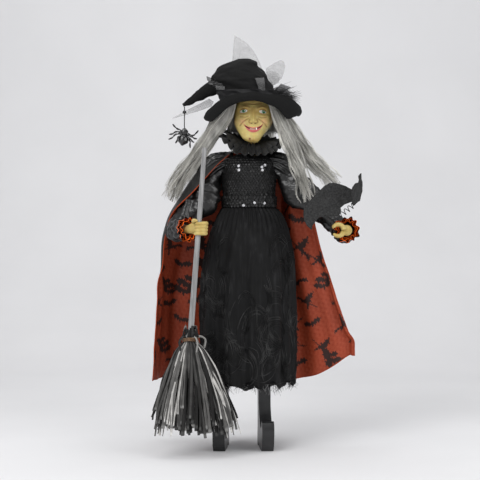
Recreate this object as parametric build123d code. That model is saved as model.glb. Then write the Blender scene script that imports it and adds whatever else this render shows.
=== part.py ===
"""Animated witch figure, 24 inch class: a standing doll with a motor-turned head, posable arms, a broom and a bat.

Millimetres, +Z up, the figure faces -Y. Every piece is modelled about the figure's own upright axis, and export()
shifts it so that the origin is the centre of the whole outline, on the surface that the boots stand on.
"Left" and "right" are the figure's own, so left is +X.
"""

from build123d import *
import math
import os

# ---------------------------------------------------------------- driving dimensions
ROW_X, ROW_Y = -5.0, 25.5  # from the figure's axis to the row's origin, so that the outline is centred
CLEAR = 0.3  # gap between curved faces that don't touch
WALL = 2.2  # moulded shell
RUNNING = 0.06  # radial clearance of a shaft in its bearing

HEM_Z, WAIST_Z, CHEST_Z, SHOULDER_Z, COLLAR_Z = 96.0, 378.0, 432.0, 441.0, 472.0
LEG_X = {"left": 23.7, "right": -41.8}
TOE_OUT = {"left": 5.0, "right": -5.0}  # degrees
BOOT_WIDTH, BOOT_TOP = 18.6, 106.0
TUBE_R, TUBE_BORE = 4.0, 3.0

NECK_X = 7.0
NECK_R = 3.0
GEAR_Z, GEAR_THICK, MODULE = 404.0, 6.0, 1.0
WHEEL_TEETH, PINION_TEETH = 30, 10
CENTRE_DISTANCE = MODULE * (WHEEL_TEETH + PINION_TEETH) / 2
PINION_X = NECK_X - CENTRE_DISTANCE

HEAD_X, CHIN_Z, EYE_Z, SKULL_Z = 6.5, 474.0, 525.0, 566.0
EYE_GAP, EYE_R, EYE_Y = 29.7, 6.0, -29.0
BRIM_Z = 541.0
HAT_TOP_Z = 609.5
HAT_TIP = (-103.0, 4.0, 538.0)

ARM_R = 2.0
ELBOW = {"left": (147.0, -8.0, 337.0), "right": (-114.0, -22.0, 340.0)}
WRIST = {"left": (150.0, -54.0, 340.0), "right": (-97.0, -64.0, 340.0)}
FIST = {"left": (146.0, -79.0, 338.5), "right": (-75.0, -95.5, 342.0)}

BROOM_TOP, BROOM_TIE = (-67.0, -97.0, 461.5), (-88.5, -97.0, 176.0)
BROOM_TOP_R, BROOM_LOW_R, GRIP_R = 3.4, 4.6, 4.3
BROOM_FOOT_Z = 28.0

CORD_R, CORD_LENGTH = 0.75, 34.0


# ---------------------------------------------------------------- helpers
def export(name, shape):
    """Writes one node, shifted from the figure's axis to the row's origin."""
    solids = shape if isinstance(shape, list) else shape.solids()
    shape = Compound(children=[piece for item in solids for piece in item.solids()])
    export_step(shape.moved(Location((ROW_X, ROW_Y, 0))), os.path.join("parts", name + ".step"))


def ellipses(stations):
    """A solid through level ellipses, each (x, y, z, x radius, y radius)."""
    return loft([Plane(origin=(x, y, z)) * Ellipse(a, b) for x, y, z, a, b in stations])


def shell(stations, wall):
    """A wall of that thickness inside the ellipses, open at both ends."""
    return ellipses(stations) - ellipses([(x, y, z, a - wall, b - wall) for x, y, z, a, b in stations])


def grown(stations, by):
    """The same ellipses with both radii larger by that much."""
    return [(x, y, z, a + by, b + by) for x, y, z, a, b in stations]


def limb(points, radii, flat=1.0, across=(0, 0, 1)):
    """A solid through ellipses square to a path. flat is the share that one radius has of the other, along across."""
    sections = []
    for i, p in enumerate(points):
        before, after = Vector(*points[max(i - 1, 0)]), Vector(*points[min(i + 1, len(points) - 1)])
        along = (after - before).normalized()
        side = along.cross(Vector(*across))
        sections.append(Plane(origin=p, x_dir=side, z_dir=along) * Ellipse(radii[i], radii[i] * flat))
    return loft(sections)


def rod(points, radius, bend):
    """A round rod along straight runs, with rounded corners."""
    path = FilletPolyline(*points, radius=bend) if len(points) > 2 else Line(*points)
    return sweep(Plane(origin=path @ 0, z_dir=path % 0) * Circle(radius), path=path)


def disc(x, y, z, radius, height):
    """An upright cylinder that stands on z."""
    return Pos(x, y, z + height / 2) * Cylinder(radius, height)


def block(x, y, z):
    """A box from three (low, high) pairs."""
    size = [b - a for a, b in (x, y, z)]
    return Pos(*[(a + b) / 2 for a, b in (x, y, z)]) * Box(*size)


def pin(x, y, z, radius, length, axis):
    """A cylinder about a centre, along "X" or "Y"."""
    turn = Rotation(0, 90, 0) if axis == "X" else Rotation(90, 0, 0)
    return Pos(x, y, z) * turn * Cylinder(radius, length)


def between(a, b, share):
    """The point that share of the way from a to b."""
    return tuple(p + (q - p) * share for p, q in zip(a, b))


# ---------------------------------------------------------------- legs and boots
def boot(side):
    """A flat-sided moulded boot and shin: heel, arched sole, instep and a toe that curls up."""
    outline = [
        (Line, (-12, 0), (-12, 14)),
        (Line, (-12, 14), (-9.5, 30)),
        (Line, (-9.5, 30), (-9.5, BOOT_TOP)),
        (Line, (-9.5, BOOT_TOP), (9.5, BOOT_TOP)),
        (Line, (9.5, BOOT_TOP), (9.5, 74)),
        (Spline, (9.5, 74), (13, 58), (24, 42), (38, 33)),
        (Spline, (38, 33), (44, 36), (50, 46)),
        (Spline, (50, 46), (57.5, 43), (61, 33), (60.5, 25)),
        (Line, (60.5, 25), (57, 9)),
        (Line, (57, 9), (49, 0)),
        (Line, (49, 0), (12, 0)),
        (Line, (12, 0), (4, 6)),
        (Line, (4, 6), (-1, 6)),
        (Line, (-1, 6), (-1, 0)),
        (Line, (-1, 0), (-12, 0)),
    ]
    edges = [kind(*points) for kind, *points in outline]
    upright = Plane((0, 0, 0), x_dir=(0, -1, 0), z_dir=(-1, 0, 0))
    solid = extrude(upright * make_face(Wire(edges)), BOOT_WIDTH / 2, both=True)
    solid = Pos(LEG_X[side], 0, 0) * Rotation(0, 0, TOE_OUT[side]) * solid
    return solid - disc(LEG_X[side], 0, BOOT_TOP - 24, TUBE_R, 30)


def leg_tubes():
    """The two steel tubes, from the boots' sockets to the hip block's."""
    low = BOOT_TOP - 24
    return [disc(x, 0, low, TUBE_R, 336 - low) - disc(x, 0, low, TUBE_BORE, 336 - low) for x in LEG_X.values()]


def hip_block():
    """The moulded pelvis that holds both leg tubes, with the spine that stands on it under the torso."""
    solid = block((-50, 34), (-14, 14), (320, 346))
    solid = fillet(solid.edges().filter_by(Axis.Z), 6)
    for x in LEG_X.values():
        solid -= disc(x, 0, 318, TUBE_R, 18)
    return solid + disc(0, 0, 346, 9, 28) - disc(0, 0, 340, 5, 40)


# ---------------------------------------------------------------- torso
TORSO = [
    (0, 0, 374, 37, 27.5),
    (0, 0, 390, 36.5, 27.5),
    (0, 0, 412, 38.5, 30),
    (0, 0, CHEST_Z, 39.5, 31),
    (0, 0, 447, 37, 26),
    (2, 0, 456, 24, 17),
]


SCREWS = [(x, z) for x in (-25, 25) for z in (387, 426)]


def torso_shells():
    """The two moulded halves: a floor, shoulders, a neck hole, shoulder holes and the posts that the screws join."""
    outer = ellipses(TORSO)
    hollow = [(x, y, z, a - WALL, b - WALL) for x, y, z, a, b in TORSO]
    hollow[0] = (0, 0, 374 + WALL, 34.8, 25.3)
    hollow[-1] = (2, 0, 456 - WALL, 21.8, 14.8)
    whole = outer - ellipses(hollow)
    for x, z in SCREWS:
        whole += pin(x, 0, z, 3.4, 60, "Y") & outer
    for x, z in SCREWS:
        whole -= pin(x, 15, z, 1.4, 46, "Y") + pin(x, 36, z, 2.7, 40, "Y")
    whole -= disc(NECK_X, 0, 440, 6, 30)
    for side in (1, -1):
        whole -= pin(side * 36, 0, SHOULDER_Z, 4.5, 16, "X")
    front = whole & block((-60, 60), (-60, 0), (360, 470))
    back = whole & block((-60, 60), (0, 60), (360, 470))
    return front, back


def torso_screws():
    """Four self-tapping screws that pull the back half onto the front."""
    return [pin(x, 4.5, z, 1.4, 23, "Y") + pin(x, 17, z, 2.6, 2, "Y") for x, z in SCREWS]


def gear_outline(teeth, phase):
    """The face of an involute gear, 25 degree pressure angle, short teeth, thinned for backlash."""
    pressure = math.radians(25)
    pitch = MODULE * teeth / 2
    base, tip, root = pitch * math.cos(pressure), pitch + 0.8 * MODULE, pitch - 1.05 * MODULE
    backlash = 0.12

    def half_angle(radius):
        """Half of a tooth's thickness at a radius, as an angle."""
        here = math.acos(min(1.0, base / radius))
        involute = math.tan(here) - here
        at_pitch = math.tan(pressure) - pressure
        return (math.pi / 2 - backlash / MODULE) / teeth + at_pitch - involute

    def point(radius, angle):
        return (radius * math.cos(angle), radius * math.sin(angle))

    start = max(base, root)
    radii = [start + (tip - start) * i / 4 for i in range(5)]
    edges = []
    for tooth in range(teeth):
        middle = phase + 2 * math.pi * tooth / teeth
        following = middle + 2 * math.pi / teeth
        rising = [point(r, middle - half_angle(r)) for r in radii]
        falling = [point(r, middle + half_angle(r)) for r in reversed(radii)]
        foot = half_angle(start)
        edges.append(Line(point(root, middle - foot), rising[0]) if start > root + 1e-6 else None)
        edges.append(Spline(*rising))
        edges.append(Line(rising[-1], falling[0]))
        edges.append(Spline(*falling))
        edges.append(Line(falling[-1], point(root, middle + foot)) if start > root + 1e-6 else None)
        edges.append(Line(point(root, middle + foot), point(root, following - foot)))
    return make_face(Wire([e for e in edges if e is not None]))


def head_gear():
    """The wheel on the neck shaft: only the toothed sector and its hub are needed for a turn of 20 degrees each way."""
    face = gear_outline(WHEEL_TEETH, math.pi + math.pi / WHEEL_TEETH)
    wheel = Pos(NECK_X, 0, GEAR_Z) * extrude(face, GEAR_THICK)
    wheel &= block((NECK_X - 20, NECK_X + 9), (-12, 12), (GEAR_Z, GEAR_Z + GEAR_THICK))
    return wheel - disc(NECK_X, 0, GEAR_Z, NECK_R, GEAR_THICK)


def pinion():
    """The motor's pinion and output shaft."""
    gear = Pos(PINION_X, 0, GEAR_Z) * extrude(gear_outline(PINION_TEETH, 0.0), GEAR_THICK)
    return gear + disc(PINION_X, 0, 394, 1.5, GEAR_Z - 394)


def mechanism_plate():
    """The shelf across the torso that carries the gearmotor and the foot of the neck shaft."""
    plate = extrude(Pos(0, 0, 399) * Ellipse(32, 23), 2.4)
    plate -= disc(NECK_X, 0, 398, NECK_R + RUNNING, 5)
    return plate - disc(PINION_X, 0, 398, 3.2, 5)


def gearmotor():
    """A small DC motor with its gear case, hung under the shelf."""
    case = block((PINION_X - 7, PINION_X + 12), (-9, 9), (386, 399))
    case = fillet(case.edges().filter_by(Axis.Z), 2)
    case -= disc(PINION_X, 0, 392, 1.5 + RUNNING, 10)
    can = pin(PINION_X + 21, 0, 389.5, 6, 18, "X") & block((-60, 60), (-20, 20), (383.8, 399))
    return [case, can]


def circuit_board():
    """The sound and motor board on the shelf, with its chip and a capacitor."""
    board = block((-19.6, -18), (-12, 12), (412, 432))
    chip = block((-18, -16.6), (-5, 5), (418, 426))
    return board + chip


def speaker():
    """A 28 mm speaker behind the front half's chest."""
    frame = pin(0, -20, 424, 11, 3, "Y") + pin(0, -16.5, 424, 6.5, 4, "Y")
    return frame - pin(0, -21, 424, 8.6, 2.2, "Y")


def neck_bush():
    """The flanged bush in the torso's neck hole."""
    bush = disc(NECK_X, 0, 449, 6, 7) + disc(NECK_X, 0, 456, 7.6, 1.6)
    return bush - disc(NECK_X, 0, 448, NECK_R + RUNNING, 12)


def shoulder_bushes():
    """The two bushes that the arms' rods turn in."""
    bushes = []
    for x in (-36, 36):
        bushes.append(pin(x, 0, SHOULDER_Z, 4.5, 8, "X") - pin(x, 0, SHOULDER_Z, ARM_R + RUNNING, 9, "X"))
    return bushes


# ---------------------------------------------------------------- power
CELL_X = (-23.5, -9.0, 5.5)
BOX_X, BOX_Y, BOX_Z = (-33.0, 15.0), (-1.0, 17.0), (252.0, 312.0)


def battery_box():
    """A box for three AA cells under the hip block, open at the back, with rails for its cover."""
    box = block(BOX_X, BOX_Y, BOX_Z)
    box -= block((BOX_X[0] + 2, BOX_X[1] - 2), (BOX_Y[0] + 2, BOX_Y[1]), (BOX_Z[0] + 2, BOX_Z[1] - 2))
    box += block((-17, -1), (1, 13), (312, 320))  # the hanger, screwed to the hip block
    for x0, x1, lip in ((BOX_X[0] - 2, BOX_X[0], 1), (BOX_X[1], BOX_X[1] + 2, -1)):
        box += block((x0, x1), (BOX_Y[1] - 3, BOX_Y[1] + 3.4), BOX_Z)
        inner = (x0, x1 + 1.4) if lip > 0 else (x0 - 1.4, x1)
        box += block(inner, (BOX_Y[1] + 2.4, BOX_Y[1] + 3.4), BOX_Z)
    return box


def batteries():
    """Three AA cells, 14.2 mm by 50 mm, side by side."""
    return [disc(x, BOX_Y[1] - 8.2, 256, 7.1, 48.6) + disc(x, BOX_Y[1] - 8.2, 304.6, 2.7, 1.2) for x in CELL_X]


def battery_contacts():
    """The sheet contacts at both ends of each cell."""
    plates = []
    for x in CELL_X:
        plates.append(block((x - 5, x + 5), (4, 14), (254.2, 255.6)))
        plates.append(block((x - 5, x + 5), (4, 14), (306.2, 307.4)))
    return plates


def battery_cover():
    """The cover that slides down off the box's rails, with a ribbed thumb grip."""
    cover = block((BOX_X[0] + 0.2, BOX_X[1] - 0.2), (BOX_Y[1] + 0.3, BOX_Y[1] + 2.1), (BOX_Z[0], BOX_Z[1] - 0.5))
    for k in range(4):
        z = BOX_Z[0] + 6 + 3 * k
        cover += block((-19, 1), (BOX_Y[1] + 2.1, BOX_Y[1] + 2.9), (z, z + 1.2))
    return cover


def switch_body():
    """The slide switch under the battery box."""
    body = block((-16, -2), (3, 11), (245, 252))
    return body - block((-13.5, -4.5), (5.4, 8.6), (244, 248))


def switch_slider():
    """The switch's sliding button."""
    return block((-13, -8), (5.6, 8.4), (241.5, 247.6))


# ---------------------------------------------------------------- clothes on the torso
def bodice():
    """The sequinned bodice: a sleeve of cloth from the waist to the neck."""
    stations = [(x, y, z, a, b) for x, y, z, a, b in TORSO[:-1]] + [(2, 0, 455, 27, 19)]
    stations[0] = (0, 0, 379, 36.9, 27.5)
    cloth = ellipses(grown(stations, 3.0)) - ellipses(grown(TORSO[:-1] + [(2, 0, 457, 26, 18)], CLEAR))
    cloth -= disc(NECK_X, 0, 440, 16, 30)
    for side in (1, -1):
        cloth -= pin(side * 42, 0, SHOULDER_Z, 7, 26, "X")
    return cloth


def belt():
    """The sequinned waistband over the bodice's hem and the skirt's gathers."""
    outer = [(0, 0, 375, 43, 33.5), (0, 0, 393, 42, 33)]
    inner = [(0, 0, 375, 40.6, 31.0), (0, 0, 393, 40.2, 31.0)]
    return ellipses(outer) - ellipses(inner)


SKIRT = [
    (0, 0, 374.5, 42, 32),
    (-2, 0, 352, 50, 41),
    (-3, 0, 324, 57.5, 49),
    (-2, 0, 280, 65, 57),
    (-1, 0, 229, 68.5, 61),
    (0, 0, 150, 69, 62.5),
    (1, 0, HEM_Z, 68.5, 62.5),
]


def skirt():
    """The gathered overskirt: a bell, open at the hem."""
    return shell(SKIRT, 2.4)


def petticoat():
    """The black lining skirt, a hand's breadth inside the overskirt, with the shredded lace at its hem."""
    return shell([(x, y, z, a - 4.2, b - 4.2) for x, y, z, a, b in SKIRT[2:-1]] + [(1, 0, 82, 63, 57)], 1.6)


def ruff():
    """The pleated collar: a shallow cone, dipped at the front and tipped to the left."""
    profile = Polyline((19, -2), (51, -3.5), (51, 3.5), (19, 3), close=True)
    ring = revolve(make_face(Plane.XZ * profile), Axis.Z)
    return Pos(5, 0, COLLAR_Z + 3) * Rotation(20, 7, 0) * ring


# ---------------------------------------------------------------- cape
# Each level: height, reach to the figure's right and left, how far back it hangs, where its front edges stand in Y.
CAPE_LEVELS = [
    (463.0, 36.0, 40.0, 33.0, 2.0),
    (455.0, 56.0, 58.0, 38.0, 6.0),
    (443.0, 72.0, 74.0, 44.0, 14.0),
    (425.0, 85.0, 85.0, 50.0, 22.0),
    (390.0, 105.0, 97.0, 58.0, 24.0),
    (340.0, 126.0, 107.0, 66.0, 24.0),
    (280.0, 138.0, 120.0, 74.0, 20.0),
    (200.0, 151.0, 141.0, 82.0, 17.0),
    (HEM_Z, 160.0, 166.0, 90.0, 15.0),
]
CAPE_THICK = 3.0


def cape_section(z, right, left, back, front):
    """One level of the cape: a U of cloth, open to the front."""
    def line(inset):
        """The U, that far inside its outer face."""
        r, l, b = right - inset, left - inset, back - inset
        return [(-r, front), (-0.9 * r, front + 0.42 * (b - front)), (-0.5 * r, 0.88 * b), (0, b),
                (0.5 * l, 0.88 * b), (0.9 * l, front + 0.42 * (b - front)), (l, front)]
    outer, inner = line(0), line(CAPE_THICK)
    edges = [Spline(*outer), Line(outer[-1], inner[-1]), Spline(*reversed(inner)), Line(inner[0], outer[0])]
    return Pos(0, 0, z) * make_face(Wire(edges))


def cape():
    """The cape: satin outside, printed lining inside, open at the front."""
    return loft([cape_section(*level) for level in reversed(CAPE_LEVELS)], ruled=True)


# ---------------------------------------------------------------- head
HEAD = [
    (HEAD_X, -26, CHIN_Z, 8, 7),
    (HEAD_X, -19, 483, 17, 16),
    (HEAD_X, -9, 498, 26, 26),
    (HEAD_X, 0, 516, 30.5, 32),
    (HEAD_X, 2, 536, 29.5, 33),
    (HEAD_X, 4, 553, 24, 29),
    (HEAD_X, 5, SKULL_Z, 11, 14),
]
SPLIT_Y = 2.0


def head_shells():
    """The face and the back of the head: two moulded halves, with sockets for the eyes and a hole for the neck."""
    inner = [(x, y, z, a - 2.5, b - 2.5) for x, y, z, a, b in HEAD[1:-1]]
    whole = ellipses(HEAD) - ellipses(inner)
    whole -= disc(NECK_X, 0, 470, 7, 40)
    for side in (-1, 1):
        whole -= pin(HEAD_X + side * EYE_GAP / 2, EYE_Y, EYE_Z, EYE_R + 0.1, 16, "Y")
    nose = limb([(HEAD_X, -30, 528), (HEAD_X, -35, 518), (HEAD_X + 1, -39, 508)], [3, 4.5, 5], 0.8, (0, 1, 0))
    face = (whole & block((-60, 80), (-80, SPLIT_Y), (460, 580))) + (nose - ellipses(inner))
    back = whole & block((-60, 80), (SPLIT_Y, 80), (460, 580))
    return face, back


def eyes():
    """Two glassy eyeballs."""
    return [Pos(HEAD_X + side * EYE_GAP / 2, EYE_Y + 4, EYE_Z) * Sphere(EYE_R) for side in (-1, 1)]


def neck_column():
    """The neck: a tube from the bush into the head, fixed on the shaft."""
    return disc(NECK_X, 0, 457.8, 7, 34) - disc(NECK_X, 0, 457, NECK_R, 36)


def neck_shaft():
    """The steel shaft that the head turns on."""
    return disc(NECK_X, 0, 399.4, NECK_R, 92)


def wig():
    """The cap of hair round the skull, open over the face."""
    over = [(HEAD_X, 2, 494, 36, 36), (HEAD_X, 3, 515, 38, 40), (HEAD_X, 3, 533, 36, 39), (HEAD_X, 3, 546, 31, 35)]
    hair = ellipses(over) - ellipses(grown(HEAD, 0.2))
    return hair - block((HEAD_X - 27, HEAD_X + 27), (-60, -6), (480, 562))


# Each hank of hair: the points along it, and its half width at each.
LOCKS = {
    "right": [([(-50, -2, 502), (-62, -7, 485), (-85, -9, 448), (-107, -9, 420), (-124, -9, 384)], [11, 12, 13, 14, 11])],
    "left": [
        ([(63, -2, 500), (86, -8, 468), (116, -10, 435), (142, -12, 411)], [11, 14, 14, 7]),
        ([(55, -38, 484), (68, -44, 452), (82, -47, 420), (91, -48, 384)], [7, 11, 12, 7]),
    ],
    "back": [([(6, 54, 506), (6, 60, 484), (4, 67, 450), (2, 71, 415), (0, 75, 380)], [24, 30, 36, 36, 28])],
}
LOCK_FLAT = {"right": 0.4, "left": 0.4, "back": 0.13}


def lock(name):
    """The hanks of hair that lie over the cape on one side."""
    return [limb(points, radii, LOCK_FLAT[name], (0, 1, 0)) for points, radii in LOCKS[name]]


# ---------------------------------------------------------------- hat
CROWN = [
    (7, 2, 530, 42, 42),
    (4, 2, 549, 42, 41),
    (-5, 2, 566, 43, 39),
    (-13, 2, 583, 42, 34),
    (-16, 2, 597, 32, 26),
    (-9, 2, HAT_TOP_Z, 12, 11),
]
HAT_TILT = Pos(7, 2, BRIM_Z) * Rotation(6, 0, 0) * Pos(-7, -2, -BRIM_Z)


def brim_slab(low, high):
    """Everything between two surfaces that droop like the brim, low and high above its underside."""
    def arc(rise):
        """The brim's underside as seen from the front, that much higher."""
        return ThreePointArc((-92, 500 + rise), (5, 546 + rise), (102, 506 + rise))
    lower, upper = arc(low), arc(high)
    outline = Wire([lower, Line(lower @ 1, upper @ 1), upper, Line(upper @ 0, lower @ 0)])
    return extrude(Plane.XZ * make_face(outline), 90, both=True)


def hat_brim():
    """The felt brim: an oval ring that droops at both sides."""
    ring = extrude(Pos(6, 0, 480) * Ellipse(78, 68), 100) - extrude(Pos(7, 2, 480) * Ellipse(40, 40), 100)
    return HAT_TILT * (brim_slab(0, 4) & ring)


def hat_crown():
    """The felt crown: a slumped cone with room for the skull, standing on the brim."""
    hollow = [(7, 2, 530, 40, 40), (4, 2, 549, 39, 38), (-2, 2, 565, 37, 33), (-7, 2, 580, 28, 24), (-9, 2, 590, 12, 10)]
    felt = ellipses(CROWN) - ellipses(hollow)
    return HAT_TILT * (felt - brim_slab(-60, 4))


def hat_point():
    """The hat's long point, folded over to the right and hanging outside the brim."""
    points = [(-44, 2, 571), (-62, 4, 561), (-82, 4, 550), HAT_TIP]
    felt = limb(points, [14, 11.5, 7.5, 3.2], 0.85, (0, 1, 0))
    return felt - HAT_TILT * ellipses(grown(CROWN, CLEAR)) - hat_brim()


def hat_band():
    """The ribbon round the foot of the crown."""
    ribbon = ellipses([(4, 2, 549, 45, 44), (-1.5, 2, 560, 46.5, 43)]) - ellipses(grown(CROWN[:4], 0.3))
    return HAT_TILT * (ribbon - brim_slab(-60, 4.3)) - hat_point()


def net(points, y):
    """A stiffened piece of net, as a thin upright sheet."""
    return Pos(0, y, 0) * extrude(Plane.XZ * make_face(Polyline(*points, close=True)), 0.5, both=True)


def hat_tulle():
    """The net fans that stand up behind the crown, and the strip that trails under the hat's point."""
    tall = net([(-29, 609), (-23, 656), (-3, 643), (10, 627), (20, 606), (30, 575), (-22, 575)], 47)
    small = net([(27, 603), (53, 616), (59, 606), (53, 583), (36, 571), (26, 580)], 49)
    low = net([(-100, 524), (-122, 517), (-74, 542), (-62, 549), (-56, 543)], 17)
    return [tall, small, low]


# ---------------------------------------------------------------- spider
SPIDER_Z = HAT_TIP[2] - CORD_LENGTH - 7


def spider_cord():
    """The thread that the spider hangs by."""
    return disc(HAT_TIP[0] + 1, HAT_TIP[1], HAT_TIP[2] - 3.4 - CORD_LENGTH, CORD_R, CORD_LENGTH)


def cord_bead():
    """A bead on the thread."""
    return Pos(HAT_TIP[0] + 1, HAT_TIP[1], HAT_TIP[2] - 12) * (Sphere(3) - Cylinder(CORD_R, 10))


def spider_body():
    """The moulded spider: head and abdomen."""
    x, y, z = HAT_TIP[0] + 1, HAT_TIP[1], HAT_TIP[2] - 3.4 - CORD_LENGTH
    head = Pos(x, y, z - 6) * Sphere(6)
    abdomen = limb([(x, y, z - 8), (x - 1, y, z - 15), (x - 3, y, z - 24), (x - 4, y, z - 27)], [4.5, 8, 6.5, 3], 0.85,
                   (0, 1, 0))
    return head + abdomen


def spider_legs():
    """Eight jointed legs, fixed in the body's sides."""
    x, y, z = HAT_TIP[0] + 1, HAT_TIP[1], HAT_TIP[2] - 9.4 - CORD_LENGTH
    legs = []
    for side, knee, foot in (
        (-1, (-10, 5), (-19, 13)), (-1, (-13, 0), (-24, -4)), (-1, (-13, -4), (-25, -12)), (-1, (-9, -8), (-14, -18)),
        (1, (13, -5), (22, 3)), (1, (12, -8), (20, -11)), (1, (10, -11), (15, -16)), (1, (8, -13), (9, -25)),
    ):
        dy = 3 if abs(knee[1]) % 2 else -3
        start = (x + side * 5, y + dy * 0.5, z - 1)
        middle, end = (x + knee[0], y + dy * 2, z + knee[1]), (x + foot[0], y + dy, z + foot[1])
        legs.append(rod([start, middle, end], 0.9, 2.5) - spider_body())
    return legs


# ---------------------------------------------------------------- arms
def arm_rod(side):
    """The bendable wire inside an arm: along the shoulder's axis, then down to the elbow and out to the hand."""
    sign = 1 if side == "left" else -1
    points = [(sign * 31, 0, SHOULDER_Z), (sign * 52, 0, SHOULDER_Z), ELBOW[side], WRIST[side],
              between(WRIST[side], FIST[side], 0.5)]
    return rod(points, ARM_R, 5)


def sleeve(side):
    """The sleeve: from the shoulder to the elbow, then a full bell over the wrist."""
    sign = 1 if side == "left" else -1
    elbow, wrist = ELBOW[side], WRIST[side]
    top = (sign * 60, 0, SHOULDER_Z - 12)
    upper = limb([top, between(top, elbow, 0.5), elbow], [11, 13, 15])
    fore = limb([elbow, between(elbow, wrist, 0.5), wrist], [15, 17, 17])
    return upper + fore + Pos(*elbow) * Sphere(15) - arm_rod(side)


def cuff(side):
    """The gathered frill round the wrist."""
    wrist, fist = WRIST[side], FIST[side]
    ring = limb([between(wrist, fist, 0.02), between(wrist, fist, 0.42)], [11, 14])
    return ring - arm_rod(side) - sleeve(side)


def hand(side):
    """A moulded hand. The right one is a fist round the broom; the left one's fingers curl round a hole."""
    wrist, fist = WRIST[side], FIST[side]
    palm = limb([between(wrist, fist, 0.45), between(wrist, fist, 0.8)], [6, 8], 0.85)
    if side == "right":
        axis = Vector(*BROOM_TOP) - Vector(*BROOM_TIE)
        solid = palm + Pos(*fist) * Sphere(10.5)
        solid -= sweep(Plane(origin=BROOM_TIE, z_dir=axis) * Circle(GRIP_R), path=Line(BROOM_TIE, BROOM_TOP))
    else:
        fingers = Pos(fist[0] - 12.5, fist[1] - 2, fist[2]) * Rotation(90, 0, 0) * Torus(8.5, 4)
        gap = block((fist[0] - 30, fist[0] - 14), (-100, -60), (fist[2] - 6, fist[2] - 1))
        solid = palm + Pos(*fist) * Sphere(8.5) + (fingers - gap)
    return solid - arm_rod(side) - cuff(side)


# ---------------------------------------------------------------- broom
def broom_handle():
    """The tapered handle."""
    axis = Vector(*BROOM_TOP) - Vector(*BROOM_TIE)
    low = between(BROOM_TIE, BROOM_TOP, -0.08)
    ends = [Plane(origin=low, z_dir=axis) * Circle(BROOM_LOW_R), Plane(origin=BROOM_TOP, z_dir=axis) * Circle(BROOM_TOP_R)]
    return loft(ends)


def broom_bristles():
    """The bundle of cut strips, gathered in loops above the tie."""
    x, y, z = BROOM_TIE
    strips = ellipses([(x, y, z, 9, 8), (x - 1, y, z - 30, 27, 16), (x + 2, y, z - 90, 52, 24),
                       (x + 6, y, BROOM_FOOT_Z, 70, 28)])
    loops = ellipses([(x, y, z, 9, 8), (x + 0.4, y, z + 9, 13, 11), (x + 1.2, y, z + 19, 9, 9)])
    axis = Vector(*BROOM_TOP) - Vector(*BROOM_TIE)
    low = between(BROOM_TIE, BROOM_TOP, -0.08)
    bore = sweep(Plane(origin=low, z_dir=axis) * Circle(BROOM_LOW_R), path=Line(low, between(BROOM_TIE, BROOM_TOP, 0.12)))
    return strips + loops - bore


def broom_tie():
    """The wire that binds the strips."""
    return Pos(*BROOM_TIE) * extrude(Ellipse(12.5, 11.5), 1.6, both=True) - broom_bristles() - broom_handle()


# ---------------------------------------------------------------- bat
BAT = (159.0, -95.0, 385.0)
SPRING_FOOT = (128.5, -81.0, 353.5)
COIL_R, WIRE_R, COIL_PITCH = 4.0, 0.55, 7.0
NEAR_WING = [(0, 9), (-5, 14), (-25, 23), (-40, 24), (-47, 20), (-67, 0), (-78, -15), (-77, -32), (-66, -46),
             (-59, -32), (-50, -26), (-35, -25), (-24, -23), (-23, -13), (-17, -8), (-6, -4), (0, -3)]
FAR_WING = [(-2, -2), (2, 12), (14, 24), (34, 34), (40, 28), (30, 20), (44, 10), (38, -2), (24, -10), (12, -14)]


def bat_spring():
    """The coil spring that the bat bobs on, with a ball at its foot and a button inside the bat."""
    foot, head = Vector(*SPRING_FOOT), Vector(BAT[0] - 2.5, BAT[1] + 3, BAT[2] - 8)
    along = head - foot
    coil = Pos(0, 0, 1.5) * Helix(COIL_PITCH, along.length - 2.5, COIL_R)
    wire = sweep(Plane(origin=coil @ 0, z_dir=coil % 0) * Circle(WIRE_R), path=coil, is_frenet=True)
    low = Pos(COIL_R / 2, 0, 1.5) * Rotation(0, 90, 0) * Cylinder(WIRE_R, COIL_R)
    spring = wire + low + Sphere(1.3) + disc(0, 0, 0, 0.7, 2) + disc(0, 0, along.length - 1.5, COIL_R + 0.8, 1.5)
    return Plane(origin=foot, z_dir=along).location * spring


def bat_body():
    """The felt body of the bat."""
    x, y, z = BAT
    points = [(x - 3, y, z - 7), (x, y, z), (x + 2, y, z + 8), (x + 3, y, z + 13)]
    return limb(points, [3.5, 5, 4.2, 2], 0.8, (0, 1, 0)) - bat_spring()


def bat_wings():
    """The two wings: stiff sheets with scalloped trailing edges, one spread flat and one turned forward."""
    near = Pos(*BAT) * extrude(Plane.XZ * make_face(Polyline(*NEAR_WING, close=True)), 1.0, both=True)
    far = extrude(Plane.YZ * make_face(Polyline(*[(-a, b) for a, b in FAR_WING], close=True)), 1.0, both=True)
    far = Pos(BAT[0] + 5, BAT[1] - 3, BAT[2]) * Rotation(0, 22, -26) * far
    return [near - bat_body() - bat_spring(), far - bat_body() - bat_spring()]


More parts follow.
